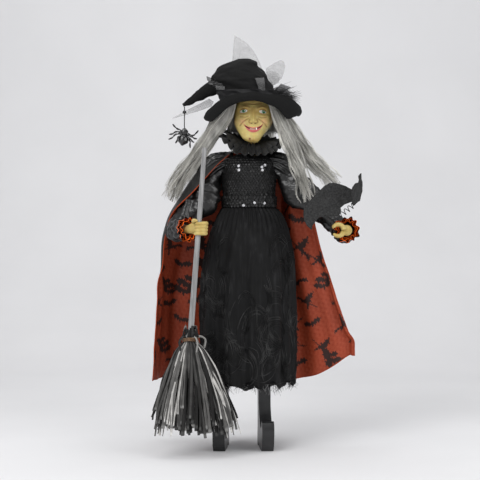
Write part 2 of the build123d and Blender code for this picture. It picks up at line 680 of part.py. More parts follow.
# ---------------------------------------------------------------- the assembly
def main():
    os.makedirs("parts", exist_ok=True)
    for side in ("left", "right"):
        export("boot_" + side, boot(side))
        export("arm_rod_" + side, arm_rod(side))
        export("sleeve_" + side, sleeve(side))
        export("cuff_" + side, cuff(side))
        export("hand_" + side, hand(side))
    export("leg_tubes", leg_tubes())
    export("hip_block", hip_block())
    front, back = torso_shells()
    export("torso_front", front)
    export("torso_back", back)
    export("torso_screws", torso_screws())
    export("shoulder_bushes", shoulder_bushes())
    export("mechanism_plate", mechanism_plate())
    export("gearmotor", gearmotor())
    export("motor_pinion", pinion())
    export("head_gear", head_gear())
    export("circuit_board", circuit_board())
    export("speaker", speaker())
    export("neck_bush", neck_bush())
    export("battery_box", battery_box())
    export("batteries", batteries())
    export("battery_contacts", battery_contacts())
    export("battery_cover", battery_cover())
    export("switch_body", switch_body())
    export("switch_slider", switch_slider())
    export("bodice", bodice())
    export("belt", belt())
    export("skirt", skirt())
    export("petticoat", petticoat())
    export("ruff", ruff())
    export("cape", cape())
    face, skull = head_shells()
    export("face", face)
    export("head_back", skull)
    export("eyes", eyes())
    export("neck_column", neck_column())
    export("neck_shaft", neck_shaft())
    export("wig", wig())
    for name in LOCKS:
        export("hair_" + name, lock(name))
    export("hat_brim", hat_brim())
    export("hat_crown", hat_crown())
    export("hat_point", hat_point())
    export("hat_band", hat_band())
    export("hat_tulle", hat_tulle())
    export("spider_cord", spider_cord())
    export("cord_bead", cord_bead())
    export("spider_body", spider_body())
    export("spider_legs", spider_legs())
    export("broom_handle", broom_handle())
    export("broom_bristles", broom_bristles())
    export("broom_tie", broom_tie())
    export("bat_spring", bat_spring())
    export("bat_body", bat_body())
    export("bat_wings", bat_wings())


main()
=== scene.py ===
"""Looks for the animated witch figure.

Shapes are worked out in millimetres about the figure's own upright axis, as in part.py, and metres() takes
them to the row's frame. The figure faces -Y, and left and right are its own.
"""

import math

import bmesh
import bpy
import numpy as np
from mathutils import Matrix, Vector
from mathutils.geometry import delaunay_2d_cdt


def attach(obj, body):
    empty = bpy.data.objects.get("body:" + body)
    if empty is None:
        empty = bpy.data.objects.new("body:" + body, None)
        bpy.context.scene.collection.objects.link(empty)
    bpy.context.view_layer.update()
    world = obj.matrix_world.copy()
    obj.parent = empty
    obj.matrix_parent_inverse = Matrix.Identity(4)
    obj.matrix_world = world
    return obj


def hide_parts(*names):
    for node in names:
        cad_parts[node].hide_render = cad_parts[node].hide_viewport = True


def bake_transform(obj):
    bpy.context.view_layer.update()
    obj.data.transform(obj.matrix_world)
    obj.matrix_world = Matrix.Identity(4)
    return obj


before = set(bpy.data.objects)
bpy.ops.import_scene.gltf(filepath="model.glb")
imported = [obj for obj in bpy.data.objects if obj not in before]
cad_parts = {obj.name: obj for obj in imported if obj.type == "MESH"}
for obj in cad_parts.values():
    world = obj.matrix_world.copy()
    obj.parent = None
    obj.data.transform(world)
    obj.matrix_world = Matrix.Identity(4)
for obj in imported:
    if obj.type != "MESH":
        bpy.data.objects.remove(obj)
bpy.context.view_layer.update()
CAMERA, TARGET_LENS = (-14.2, -1800, 324), 85.6
SPIDER_HOOK, THREAD_LENGTH, THREAD_WIDTH = (-102.0, 4.0, 534.6), 34.0, 1.5
SHIFT = np.array((-5.0, 25.5, 0.0))  # from the figure's axis to the row's origin
TAU = 2 * math.pi


# ---------------------------------------------------------------- shape helpers
def metres(points):
    """Row-frame metres from body-centred millimetres."""
    return (np.asarray(points, float) + SHIFT) / 1000.0


def piece(name, points, faces, materials, body=None, colours=None, smooth=True, outward=True):
    """A mesh object from millimetre points. colours are sRGB, one per point, in the attribute "paint"."""
    data = bpy.data.meshes.new(name)
    data.from_pydata(metres(points).tolist(), [], [list(map(int, f)) for f in faces])
    data.polygons.foreach_set("use_smooth", [smooth] * len(data.polygons))
    for material in materials:
        data.materials.append(material)
    if colours is not None:
        rgba = np.ones((len(data.vertices), 4), np.float32)
        rgba[:, :3] = linear(colours)
        data.color_attributes.new("paint", "FLOAT_COLOR", "POINT").data.foreach_set("color", rgba.ravel())
    data.validate()
    if outward:
        work = bmesh.new()
        work.from_mesh(data)
        bmesh.ops.recalc_face_normals(work, faces=work.faces)
        work.to_mesh(data)
        work.free()
    data.update()
    obj = bpy.data.objects.new(name, data)
    bpy.context.scene.collection.objects.link(obj)
    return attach(obj, body) if body else obj


def linear(colour):
    """Linear colour from sRGB."""
    c = np.clip(np.asarray(colour, float), 0, 1)
    return np.where(c <= 0.04045, c / 12.92, ((c + 0.055) / 1.055) ** 2.4)


def grid(rows, cols, closed=False, start=0):
    """Quads over a grid of points stored row by row. closed joins the last column to the first."""
    i, j = np.meshgrid(np.arange(rows - 1), np.arange(cols if closed else cols - 1), indexing="ij")
    a, b = i * cols + j, i * cols + (j + 1) % cols
    return (np.stack([a, b, b + cols, a + cols], -1).reshape(-1, 4) + start).tolist()


def waves(points, length, seed, octaves=3):
    """Smooth noise from about -1 to 1, made of fixed waves in seeded directions."""
    rng = np.random.default_rng(seed)
    points, total = np.asarray(points, float), 0.0
    for k in range(octaves):
        for _ in range(5):
            direction = rng.normal(size=points.shape[-1])
            direction *= TAU * 2**k / length / np.linalg.norm(direction)
            total = total + np.sin(points @ direction + rng.uniform(0, TAU)) / 2**k
    return total / 4.0


def ease(low, high, x):
    """0 below low, 1 above high, smooth between."""
    t = np.clip((np.asarray(x, float) - low) / (high - low), 0, 1)
    return t * t * (3 - 2 * t)


def bump(x, centre, width):
    """A bell of height 1."""
    return np.exp(-(((np.asarray(x, float) - centre) / width) ** 2))


def table(x, *pairs):
    """Smooth interpolation through (x, y) pairs."""
    xs, ys = np.array([p[0] for p in pairs], float), np.array([p[1] for p in pairs], float)
    slopes = np.gradient(ys, xs)
    x = np.clip(np.asarray(x, float), xs[0], xs[-1])
    k = np.clip(np.searchsorted(xs, x) - 1, 0, len(xs) - 2)
    h = xs[k + 1] - xs[k]
    t = (x - xs[k]) / h
    rise = ys[k] * (1 + 2 * t) * (1 - t) ** 2 + ys[k + 1] * t * t * (3 - 2 * t)
    return rise + h * (slopes[k] * t * (1 - t) ** 2 - slopes[k + 1] * t * t * (1 - t))


def around(count):
    """Angles once round, from the back, with 0 at the front."""
    return np.linspace(-math.pi, math.pi, count, endpoint=False)


def along(points, count):
    """A smooth line through points, as count points. Works on any number of columns."""
    points = np.asarray(points, float)
    reach = np.concatenate([[0], np.cumsum(np.linalg.norm(np.diff(points[:, :3], axis=0), axis=1))])
    at = np.linspace(0, reach[-1], count)
    return np.stack([table(at, *zip(reach, points[:, c])) for c in range(points.shape[1])], 1)


def frames(path, across=(0, 1, 0)):
    """The direction, and two unit vectors square to it, at each point of one or more paths."""
    path = np.asarray(path, float)
    ahead = np.gradient(path, axis=-2)
    ahead /= np.linalg.norm(ahead, axis=-1, keepdims=True) + 1e-12
    side = np.cross(ahead, np.broadcast_to(np.asarray(across, float), ahead.shape))
    side /= np.linalg.norm(side, axis=-1, keepdims=True) + 1e-12
    return ahead, side, np.cross(side, ahead)


def tubes(paths, radii, sides=4, across=(0.11, 1, 0.07)):
    """Closed round tubes along paths of shape (n, m, 3), with radii of shape (n, m)."""
    paths = np.asarray(paths, float)
    n, m, _ = paths.shape
    radii = np.broadcast_to(np.asarray(radii, float), (n, m))
    _, side, other = frames(paths, across)
    turn = np.arange(sides) * TAU / sides
    ring = np.cos(turn)[:, None] * side[:, :, None] + np.sin(turn)[:, None] * other[:, :, None]
    points = paths[:, :, None] + radii[:, :, None, None] * ring
    faces = []
    one = grid(m, sides, closed=True)
    for k in range(n):
        start = k * m * sides
        faces += [[v + start for v in f] for f in one]
        faces.append([start + i for i in reversed(range(sides))])
        faces.append([start + (m - 1) * sides + i for i in range(sides)])
    return points.reshape(-1, 3), faces


def strips(paths, widths, thick, facing):
    """Closed flat strips along paths of shape (n, m, 3). facing is each strip's flat side's direction."""
    paths = np.asarray(paths, float)
    n, m, _ = paths.shape
    ahead = np.gradient(paths, axis=1)
    ahead /= np.linalg.norm(ahead, axis=-1, keepdims=True) + 1e-12
    side = np.cross(ahead, np.broadcast_to(facing, ahead.shape))
    side /= np.linalg.norm(side, axis=-1, keepdims=True) + 1e-12
    normal = np.cross(side, ahead)
    w = np.broadcast_to(np.asarray(widths, float), (n, m))[..., None] / 2
    t = thick / 2
    ring = np.stack([paths + side * w + normal * t, paths - side * w + normal * t,
                     paths - side * w - normal * t, paths + side * w - normal * t], 2)
    faces, one = [], grid(m, 4, closed=True)
    for k in range(n):
        start = k * m * 4
        faces += [[v + start for v in f] for f in one]
        faces += [[start + 3, start + 2, start + 1, start], [start + (m - 1) * 4 + i for i in range(4)]]
    return ring.reshape(-1, 3), faces


def body_of_rings(rings):
    """A closed skin through rings of shape (rows, cols, 3), with a point at each end."""
    rows, cols, _ = rings.shape
    points = np.concatenate([rings.reshape(-1, 3), [rings[0].mean(0), rings[-1].mean(0)]])
    faces = grid(rows, cols, closed=True)
    low, high = rows * cols, rows * cols + 1
    for j in range(cols):
        k = (j + 1) % cols
        faces += [[low, k, j], [high, (rows - 1) * cols + j, (rows - 1) * cols + k]]
    return points, faces


def limb_rings(points, radii, rows, cols, flat=1.0, across=(0, 1, 0)):
    """Rings square to a smooth path, and each ring point's outward direction."""
    line = along(np.column_stack([points, radii]), rows)
    _, side, other = frames(line[:, :3], across)
    turn = np.arange(cols) * TAU / cols
    out = np.cos(turn)[:, None] * side[:, None] + np.sin(turn)[:, None] * other[:, None] * flat
    return line[:, None, :3] + line[:, 3, None, None] * out, out, turn


def join(parts):
    """One list of points and one of faces from several (points, faces)."""
    points, faces, start = [], [], 0
    for p, f in parts:
        points.append(np.asarray(p, float).reshape(-1, 3))
        faces += [[v + start for v in face] for face in f]
        start += len(points[-1])
    return np.concatenate(points), faces


def thicken(obj, thickness, offset=-1.0, inner=0, rim=0):
    """Gives a sheet real thickness, with its own material inside and on its edge."""
    mod = obj.modifiers.new("thickness", "SOLIDIFY")
    mod.thickness, mod.offset = thickness / 1000.0, offset
    mod.material_offset, mod.material_offset_rim = inner, rim
    return obj


# ---------------------------------------------------------------- materials
def material(name, colour, rough=0.7, **sockets):
    """A Principled material with its node tree to build on. Other sockets by name, underscores for spaces."""
    m = bpy.data.materials.new(name)
    m.use_nodes = True
    shader = m.node_tree.nodes["Principled BSDF"]
    shader.inputs["Base Color"].default_value = (*linear(colour), 1)
    shader.inputs["Roughness"].default_value = rough
    shader.inputs["Specular IOR Level"].default_value = 0.5 if rough < 0.42 else 0.22
    for key, value in sockets.items():
        shader.inputs[key.replace("_", " ")].default_value = value
    return m


def node(m, kind, **values):
    """A node, with its inputs set by name, or its properties where they have that name."""
    n = m.node_tree.nodes.new("ShaderNode" + kind)
    for key, value in values.items():
        if hasattr(n, key):
            setattr(n, key, value)
        else:
            n.inputs[key.replace("_", " ")].default_value = value
    return n


def link(m, source, target):
    """Joins two sockets."""
    m.node_tree.links.new(source, target)


def place(m, scale=(1, 1, 1), turn=(0, 0, 0)):
    """Object coordinates in metres, scaled and turned."""
    source, mapping = node(m, "TexCoord"), node(m, "Mapping")
    mapping.inputs["Scale"].default_value = scale
    mapping.inputs["Rotation"].default_value = turn
    link(m, source.outputs["Object"], mapping.inputs["Vector"])
    return mapping.outputs["Vector"]


def texture(m, kind, scale, where=None, **values):
    """A procedural texture's node, on object coordinates."""
    n = node(m, "Tex" + kind, **values)
    n.inputs["Scale"].default_value = scale
    link(m, where or place(m), n.inputs["Vector"])
    return n


def ramp(m, source, *stops):
    """A colour ramp from (position, sRGB colour) stops."""
    n = node(m, "ValToRGB")
    while len(n.color_ramp.elements) < len(stops):
        n.color_ramp.elements.new(0.5)
    for element, (at, colour) in zip(n.color_ramp.elements, stops):
        colour = (colour,) * 3 if isinstance(colour, (int, float)) else colour
        element.position, element.color = at, (*linear(colour), 1)
    link(m, source, n.inputs["Fac"])
    return n.outputs["Color"]


def tint(m, colour_socket):
    """The material's base colour from a socket."""
    link(m, colour_socket, m.node_tree.nodes["Principled BSDF"].inputs["Base Color"])


def relief(m, source, strength, distance):
    """Bump from a socket, added to any that the material already has. distance is in millimetres."""
    target = m.node_tree.nodes["Principled BSDF"].inputs["Normal"]
    n = node(m, "Bump", Strength=strength, Distance=distance / 1000.0)
    link(m, source, n.inputs["Height"])
    if target.links:
        link(m, target.links[0].from_socket, n.inputs["Normal"])
    link(m, n.outputs["Normal"], target)


def roughen(m, source, low, high):
    """Roughness from low to high by a socket from 0 to 1."""
    n = node(m, "MapRange")
    n.inputs["To Min"].default_value, n.inputs["To Max"].default_value = low, high
    link(m, source, n.inputs["Value"])
    link(m, n.outputs["Result"], m.node_tree.nodes["Principled BSDF"].inputs["Roughness"])


def weave(m, pitch, strength=0.5, turn=(0, 0, 0)):
    """A fine over-and-under weave with threads that far apart, in millimetres."""
    size = 1000.0 / pitch
    a = texture(m, "Wave", 0.5 * size / 3.14, place(m, turn=turn), bands_direction="X", Distortion=0.6)
    b = texture(m, "Wave", 0.5 * size / 3.14, place(m, turn=turn), bands_direction="Z", Distortion=0.6)
    relief(m, a.outputs["Fac"], strength, 0.15)
    relief(m, b.outputs["Fac"], strength, 0.15)


def mottled(name, dark, light, scale, rough=0.7, **sockets):
    """A material whose colour drifts between two, with bump at the same places."""
    m = material(name, light, rough, **sockets)
    noise = texture(m, "Noise", scale, Detail=6.0)
    tint(m, ramp(m, noise.outputs["Fac"], (0.32, dark), (0.68, light)))
    roughen(m, noise.outputs["Fac"], max(rough - 0.08, 0.03), min(rough + 0.08, 1))
    relief(m, noise.outputs["Fac"], 0.25, 0.2)
    return m


def painted(name, rough, fine=2500.0, **sockets):
    """A material coloured by the "paint" attribute, with fine grain."""
    m = material(name, (0.5, 0.5, 0.5), rough, **sockets)
    attribute = node(m, "VertexColor", layer_name="paint")
    noise = texture(m, "Noise", fine, Detail=3.0)
    mix = node(m, "Mix", data_type="RGBA", blend_type="MULTIPLY")
    mix.inputs[0].default_value = 0.35
    link(m, attribute.outputs["Color"], mix.inputs[6])
    link(m, ramp(m, noise.outputs["Fac"], (0.3, 0.75), (0.7, 1.0)), mix.inputs[7])
    tint(m, mix.outputs[2])
    relief(m, noise.outputs["Fac"], 0.2, 0.08)
    return m


M = {}


def make_materials():
    """The materials of the boots and the mechanism, by their short names."""
    M["boot"] = mottled("boot_satin_black", (0.10, 0.10, 0.105), (0.145, 0.145, 0.15), 90, 0.36)
    M["steel"] = mottled("brushed_steel", (0.5, 0.5, 0.5), (0.62, 0.62, 0.62), 900, 0.32, Metallic=1.0)
    M["moulding"] = mottled("black_moulding", (0.07, 0.07, 0.075), (0.10, 0.10, 0.105), 400, 0.55)
    M["white"] = mottled("white_acetal", (0.76, 0.76, 0.73), (0.84, 0.84, 0.81), 300, 0.42)
    M["board"] = mottled("circuit_board", (0.03, 0.2, 0.09), (0.05, 0.3, 0.13), 500, 0.4)
    M["brass"] = mottled("plated_contact", (0.7, 0.6, 0.35), (0.85, 0.75, 0.5), 600, 0.3, Metallic=1.0)
    cell = M["cell"] = material("cell_wrap", (0.75, 0.55, 0.15), 0.35, Metallic=0.4)
    bands = texture(cell, "Wave", 9.0, bands_direction="Z")
    tint(cell, ramp(cell, bands.outputs["Fac"], (0.35, (0.08, 0.08, 0.08)), (0.5, (0.72, 0.5, 0.18))))


# ---------------------------------------------------------------- camera and light
def stage():
    """The camera, soft studio light, and a pale sweep under and behind the figure."""
    scene = bpy.context.scene
    data = bpy.data.cameras.new("camera")
    data.lens, data.sensor_width, data.clip_end = TARGET_LENS, 36.0, 20.0
    camera = bpy.data.objects.new("camera", data)
    camera.location = metres(CAMERA)
    camera.rotation_euler = (math.pi / 2, 0, 0)
    scene.collection.objects.link(camera)
    scene.camera = camera

    def area(name, place_mm, aim_mm, size, power, tone=(1, 1, 1)):
        """A soft square light aimed at a point."""
        lamp = bpy.data.lights.new(name, "AREA")
        lamp.shape, lamp.size, lamp.energy, lamp.color = "SQUARE", size, power, tone
        obj = bpy.data.objects.new(name, lamp)
        obj.location = metres(place_mm)
        obj.rotation_euler = (Vector(metres(aim_mm)) - obj.location).to_track_quat("-Z", "Y").to_euler()
        scene.collection.objects.link(obj)

    area("key", (-1100, -1500, 1500), (0, 0, 300), 1.3, 27)
    area("fill", (1500, -1300, 900), (0, 0, 330), 1.4, 16)
    area("top", (0, 100, 2100), (0, 100, 300), 1.6, 14)
    world = bpy.data.worlds.new("studio")
    world.use_nodes = True
    world.node_tree.nodes["Background"].inputs["Color"].default_value = (0.93, 0.93, 0.95, 1)
    world.node_tree.nodes["Background"].inputs["Strength"].default_value = 0.45
    scene.world = world
    scene.view_settings.view_transform = "Standard"

    profile = [(-2600, 0)] + [(900 + 900 * math.sin(a), 900 - 900 * math.cos(a))
                              for a in np.linspace(0, math.pi / 2, 24)] + [(1800, 3200)]
    points = [(x, y, z) for y, z in profile for x in (-3400, 3400)]
    paper = mottled("pale_paper", (0.885, 0.885, 0.89), (0.905, 0.905, 0.91), 3, 0.9)
    piece("backdrop", points, grid(len(profile), 2), [paper])


# ---------------------------------------------------------------- the spider's thread
def thread():
    """The thread that the spider hangs by, from inside the hat's point to the spider."""
    top, length = SPIDER_HOOK, THREAD_LENGTH
    data = bpy.data.curves.new("spider_thread", "CURVE")
    data.dimensions, data.bevel_depth, data.bevel_resolution = "3D", THREAD_WIDTH / 2000, 3
    spline = data.splines.new("NURBS")
    spline.points.add(3)
    for k, point in enumerate(spline.points):
        point.co = (*metres((top[0] + (0, 0.25, -0.25, 0)[k], top[1], top[2] - length * k / 3)), 1)
    spline.order_u, spline.use_endpoint_u = 3, True
    spline.resolution_u = 12
    obj = bpy.data.objects.new("spider_thread", data)
    bpy.context.scene.collection.objects.link(obj)
    M["thread"] = material("black_thread", (0.1, 0.1, 0.1), 0.8)
    twist = texture(M["thread"], "Wave", 700.0, place(M["thread"], turn=(0.6, 0, 0)), bands_direction="Z")
    tint(M["thread"], ramp(M["thread"], twist.outputs["Fac"], (0.2, 0.06), (0.8, 0.14)))
    relief(M["thread"], twist.outputs["Fac"], 0.6, 0.2)
    data.materials.append(M["thread"])
    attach(obj, "spider")
    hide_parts("spider_cord")
    return obj


# ---------------------------------------------------------------- skirt and bodice
SKIRT = ((374.5, 42, 32, 0), (366, 49, 37, 1.5), (352, 56, 42.5, 2), (324, 65, 50.5, 1.5), (280, 70.5, 58, 0),
         (229, 73, 61.5, -1), (150, 73, 63.5, -1), (96, 71.5, 63.5, 0), (76, 70, 63, 0))


def skirt_point(angle, z, out=0.0):
    """A point on the gathered skirt. angle is 0 at the front and grows to the figure's left."""
    a, b, cx = (table(z, *[(r[0], r[k]) for r in reversed(SKIRT)]) for k in (1, 2, 3))
    low = ease(372, 250, z)
    gathers = 1.3 * np.sin(46 * angle + 1.2 * np.sin(5 * angle)) * bump(z, 366, 26)
    folds = (2.6 * np.sin(11 * angle + 0.9 * np.sin(3 * angle) + 0.004 * (300 - z))
             + 1.5 * np.sin(19 * angle + 2.0 + 0.9 * np.sin(2 * angle + z / 90))) * low
    front = -4.5 * bump(angle, -0.05,
                        0.10) * low + 3.0 * (bump(angle, 0.22, 0.2) + bump(angle, -0.30, 0.2)) * low
    r = out + gathers + folds + front + 1.0 * waves(np.stack([angle * 60, z], -1), 60, 5) * low
    return np.stack([cx + (a + r) * np.sin(angle), -(b + r) * np.cos(angle), z + 0 * angle], -1)


def make_skirt():
    """The net overskirt with its cord embroidery and shredded hem, over a dark lining skirt."""
    cloth = material("skirt_net", (0.105, 0.105, 0.11), 0.8)
    drift = texture(cloth, "Noise", 35, Detail=5.0)
    streak = texture(cloth, "Noise", 60, place(cloth, (3.5, 3.5, 0.35)), Detail=6.0)
    tint(cloth, ramp(cloth, streak.outputs["Fac"], (0.3, (0.016, 0.016, 0.018)),
                     (0.54, (0.042, 0.042, 0.045)),
                     (0.78, (0.13, 0.13, 0.134))))
    roughen(cloth, drift.outputs["Fac"], 0.6, 0.85)
    relief(cloth, streak.outputs["Fac"], 0.5, 0.6)
    weave(cloth, 0.9, 0.35)
    rows, cols = 150, 420
    angle, z = np.meshgrid(around(cols), np.linspace(374.5, 103, rows))
    points = skirt_point(angle, z)
    hem = ease(150, 103, z)
    ragged = (5.0 * waves(np.stack([angle * 66, 0 * z], -1), 26, 8, 4)
              - 3.0 * np.abs(np.sin(6.5 * angle))) * hem
    points[..., 2] += ragged
    skirt = piece("skirt", points.reshape(-1, 3), grid(rows, cols, closed=True), [cloth], "torso")
    thicken(skirt, 0.7)
    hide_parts("skirt")

    lining = mottled("lining_black", (0.06, 0.06, 0.062), (0.10, 0.10, 0.105), 150, 0.8)
    weave(lining, 0.5, 0.4)
    angle, z = np.meshgrid(around(260), np.linspace(322, 98, 60))
    points = skirt_point(angle, z, -4.5)
    points[..., 2] += (4.0 * waves(np.stack([angle * 60, 0 * z], -1), 30, 21, 4)
                       + 2 * np.sin(13 * angle)) * ease(140, 98, z)
    under = piece("lining_skirt", points.reshape(-1, 3), grid(60, 260, closed=True), [lining], "torso")
    thicken(under, 0.6)
    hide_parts("petticoat")

    rng = np.random.default_rng(11)
    arcs = []
    for k in range(165):
        # A swirl is a brush of cords that run side by side round the same curl.
        a0, z0 = rng.uniform(-math.pi, math.pi), 108 + 205 * rng.beta(1.0, 1.2)
        size, way = rng.uniform(8, 36), rng.choice((-1, 1))
        reach, first, tall = rng.uniform(0.8, 2.7), rng.uniform(0, TAU), rng.uniform(1.1, 2.2)
        for _ in range(rng.integers(4, 10)):
            t = np.linspace(0, 1, 18)
            turn = first + way * reach * t + rng.normal(0, 0.22)
            r = (size + rng.normal(0, 4.2)) * (1 - 0.6 * t) + 0.6 * np.sin(6 * t + k)
            da, dz = r * np.cos(turn) / 66, r * np.sin(turn) * tall
            arcs.append(skirt_point(a0 + da, np.clip(z0 + dz, 104, 345), 0.75 + 0.25 * np.sin(9 * t + k)))
    thread_points, faces = tubes(arcs, 0.33, 3)
    cord = material("embroidery_cord", (0.24, 0.24, 0.245), 0.5)
    shade = texture(cord, "Noise", 45, Detail=2.0)
    tint(cord, ramp(cord, shade.outputs["Fac"], (0.40, 0.035), (0.66, 0.26)))
    twist = texture(cord, "Wave", 500, bands_direction="DIAGONAL")
    relief(cord, twist.outputs["Fac"], 0.4, 0.1)
    obj = piece("skirt_embroidery", thread_points, faces, [cord], "torso")

    ends = []
    for k in range(420):
        a0 = rng.uniform(-math.pi, math.pi)
        top = skirt_point(np.array(a0), np.array(104.0), rng.uniform(-5, 0.5))
        length = rng.uniform(4, 15) * (1.25 if 0.1 < a0 < 0.9 else 1)
        t = np.linspace(0, 1, 9)[:, None]
        sway = rng.normal(size=3) * (3.5, 3.5, 0)
        curl = rng.normal(size=3) * (1.6, 1.6, 0.6)
        ends.append(top + t * (0, 0, -length) + t**2 * sway + np.sin(t * rng.uniform(3, 9)) * curl)
    points, faces = tubes(ends, np.linspace(0.28, 0.16, 9), 3)
    points[:, 2] = np.maximum(points[:, 2], 70)
    pale = rng.uniform(size=420) ** 2.2
    colours = np.repeat((0.09 + 0.62 * pale)[:, None] * (1, 1, 1.0), 9 * 3, 0)
    fringe = piece("hem_fringe", points, faces, [painted("fringe_thread", 0.8)], "torso", colours=colours)


BODICE = ((379, 40.2, 30.6, 0), (390, 39.8, 30.8, 0), (412, 41.8, 33.2, 0), (432, 42.8, 34.2, 0),
          (447, 40.5, 29.5, 0.5),
          (455, 30.5, 22.4, 2), (459, 22, 17, 4))


def bodice_point(angle, z, out=0.0):
    """A point on the bodice. angle is 0 at the front."""
    a, b, cx = (table(z, *[(r[0], r[k]) for r in BODICE]) for k in (1, 2, 3))
    gather = 1.0 * np.sin(26 * angle + np.sin(3 * angle)) * bump(z, 388, 9)
    bust = 3.2 * (bump(angle, 0.42, 0.3) + bump(angle, -0.42, 0.3)) * bump(z, 431, 15)
    r = out + gather + bust
    return np.stack([cx + (a + r) * np.sin(angle), -(b + r) * np.cos(angle), z + 0 * angle], -1)


def sequins(name, spots, outward, size, seed):
    """Small cupped six-sided discs that lie on a surface, each tipped a little."""
    rng = np.random.default_rng(seed)
    n = len(spots)
    normal = outward + rng.normal(scale=0.10, size=(n, 3))
    normal /= np.linalg.norm(normal, axis=1, keepdims=True)
    side = np.cross(normal, (0.0, 0.0, 1.0))
    side /= np.linalg.norm(side, axis=1, keepdims=True)
    up = np.cross(side, normal)
    turn = (np.arange(6) + 0.5) * TAU / 6
    rim = np.cos(turn)[:, None] * side[:, None] + np.sin(turn)[:, None] * up[:, None]
    top = spots[:, None] + normal[:, None] * 0.55 + rim * size / 2
    flat = spots[:, None] + normal[:, None] * 0.25 + rim * size * 0.32
    under = spots[:, None] + normal[:, None] * 0.05 + rim * size / 2
    points = np.concatenate([top, flat, under], 1).reshape(-1, 3)
    one = [[6, 7, 8, 9, 10, 11], [17, 16, 15, 14, 13, 12]]
    for j in range(6):
        k = (j + 1) % 6
        one += [[j, k, k + 6, j + 6], [j + 12, k + 12, k, j]]
    faces = [[v + 18 * i for v in f] for i in range(n) for f in one]
    obj = piece(name, points, faces, [M["sequin"]], "torso", smooth=False)
    return obj


def make_bodice():
    """The sequinned bodice and its belt."""
    cloth = mottled("black_knit", (0.035, 0.035, 0.037), (0.06, 0.06, 0.063), 300, 0.8)
    weave(cloth, 0.6, 0.4)
    shiny = M["sequin"] = material("black_sequin", (0.06, 0.06, 0.064), 0.3, Specular_IOR_Level=0.35)
    tone = texture(shiny, "Noise", 240, Detail=2.0)
    tint(shiny, ramp(shiny, tone.outputs["Fac"], (0.35, 0.04), (0.65, 0.10)))
    roughen(shiny, tone.outputs["Fac"], 0.24, 0.4)
    rows, cols = 60, 200
    angle, z = np.meshgrid(around(cols), np.linspace(379, 459, rows))
    bodice = piece("bodice", bodice_point(angle, z).reshape(-1, 3), grid(rows, cols, closed=True), [cloth],
                   "torso")
    thicken(bodice, 0.6)
    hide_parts("bodice")
    spots, outward = [], []
    for row, level in enumerate(np.arange(394.5, 456, 3.55)):
        count = int(TAU * 37.5 / 4.1)
        at = (np.arange(count) + 0.5 * (row % 2)) * TAU / count - math.pi
        here = bodice_point(at, np.full(count, level), 0.35)
        ahead = bodice_point(at + 0.01, np.full(count, level), 0.35) - here
        above = bodice_point(at, np.full(count, level + 0.5), 0.35) - here
        out = np.cross(ahead, above)
        out /= np.linalg.norm(out, axis=1, keepdims=True)
        spots.append(here)
        outward.append(out)
    sequins("bodice_sequins", np.concatenate(spots), np.concatenate(outward), 4.3, 3)

    # A few sequins on the chest and the belt, in a pale material and set facing forward, are painted
    # highlights: glints of lamp light on the black sequins.
    glint_paint = mottled("sequin_painted_highlight", (0.62, 0.62, 0.64), (0.85, 0.85, 0.86), 300, 0.25)
    on_chest = ((-15, 438.6), (-14.5, 432.2), (18, 437), (22.6, 440), (18.4, 432.2))
    on_belt = ((0.19, 381.5), (0.57, 381), (-0.2, 377.5))
    spots = [bodice_point(np.array(math.asin(x / 42.5)), np.array(z), 0.9) for x, z in on_chest]
    spots += [np.array((43.6 * math.sin(a), -34.4 * math.cos(a), z)) for a, z in on_belt]
    towards = np.tile((0.0, -1.0, 0.25), (len(spots), 1))
    glint_piece = sequins("painted_highlight_sequins", np.array(spots), towards, 4.6, 8)
    glint_piece.data.materials[0] = glint_paint

    angle, z = np.meshgrid(np.linspace(0, TAU, 160, endpoint=False), np.linspace(374.5, 393.5, 14))
    swell = 42.0 + 0.9 * np.sin((z - 374.5) / 19 * math.pi) + 0.25 * np.sin(40 * angle)
    band = np.stack([swell * np.sin(angle), -(swell - 9.4) * np.cos(angle), z], -1)
    belt = piece("belt", band.reshape(-1, 3), grid(14, 160, closed=True), [cloth], "torso")
    thicken(belt, 1.2)
    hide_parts("belt")
    spots, outward = [], []
    for row, level in enumerate((377.5, 382, 386.3, 390.6)):
        count = 48
        at = (np.arange(count) + 0.5 * (row % 2)) * TAU / count
        out = np.stack([np.sin(at), -np.cos(at) * 1.25, 0 * at], -1)
        spots.append(np.stack([43.2 * np.sin(at), -33.8 * np.cos(at), 0 * at + level], -1))
        outward.append(out / np.linalg.norm(out, axis=1, keepdims=True))
    sequins("belt_sequins", np.concatenate(spots), np.concatenate(outward), 5.4, 6)


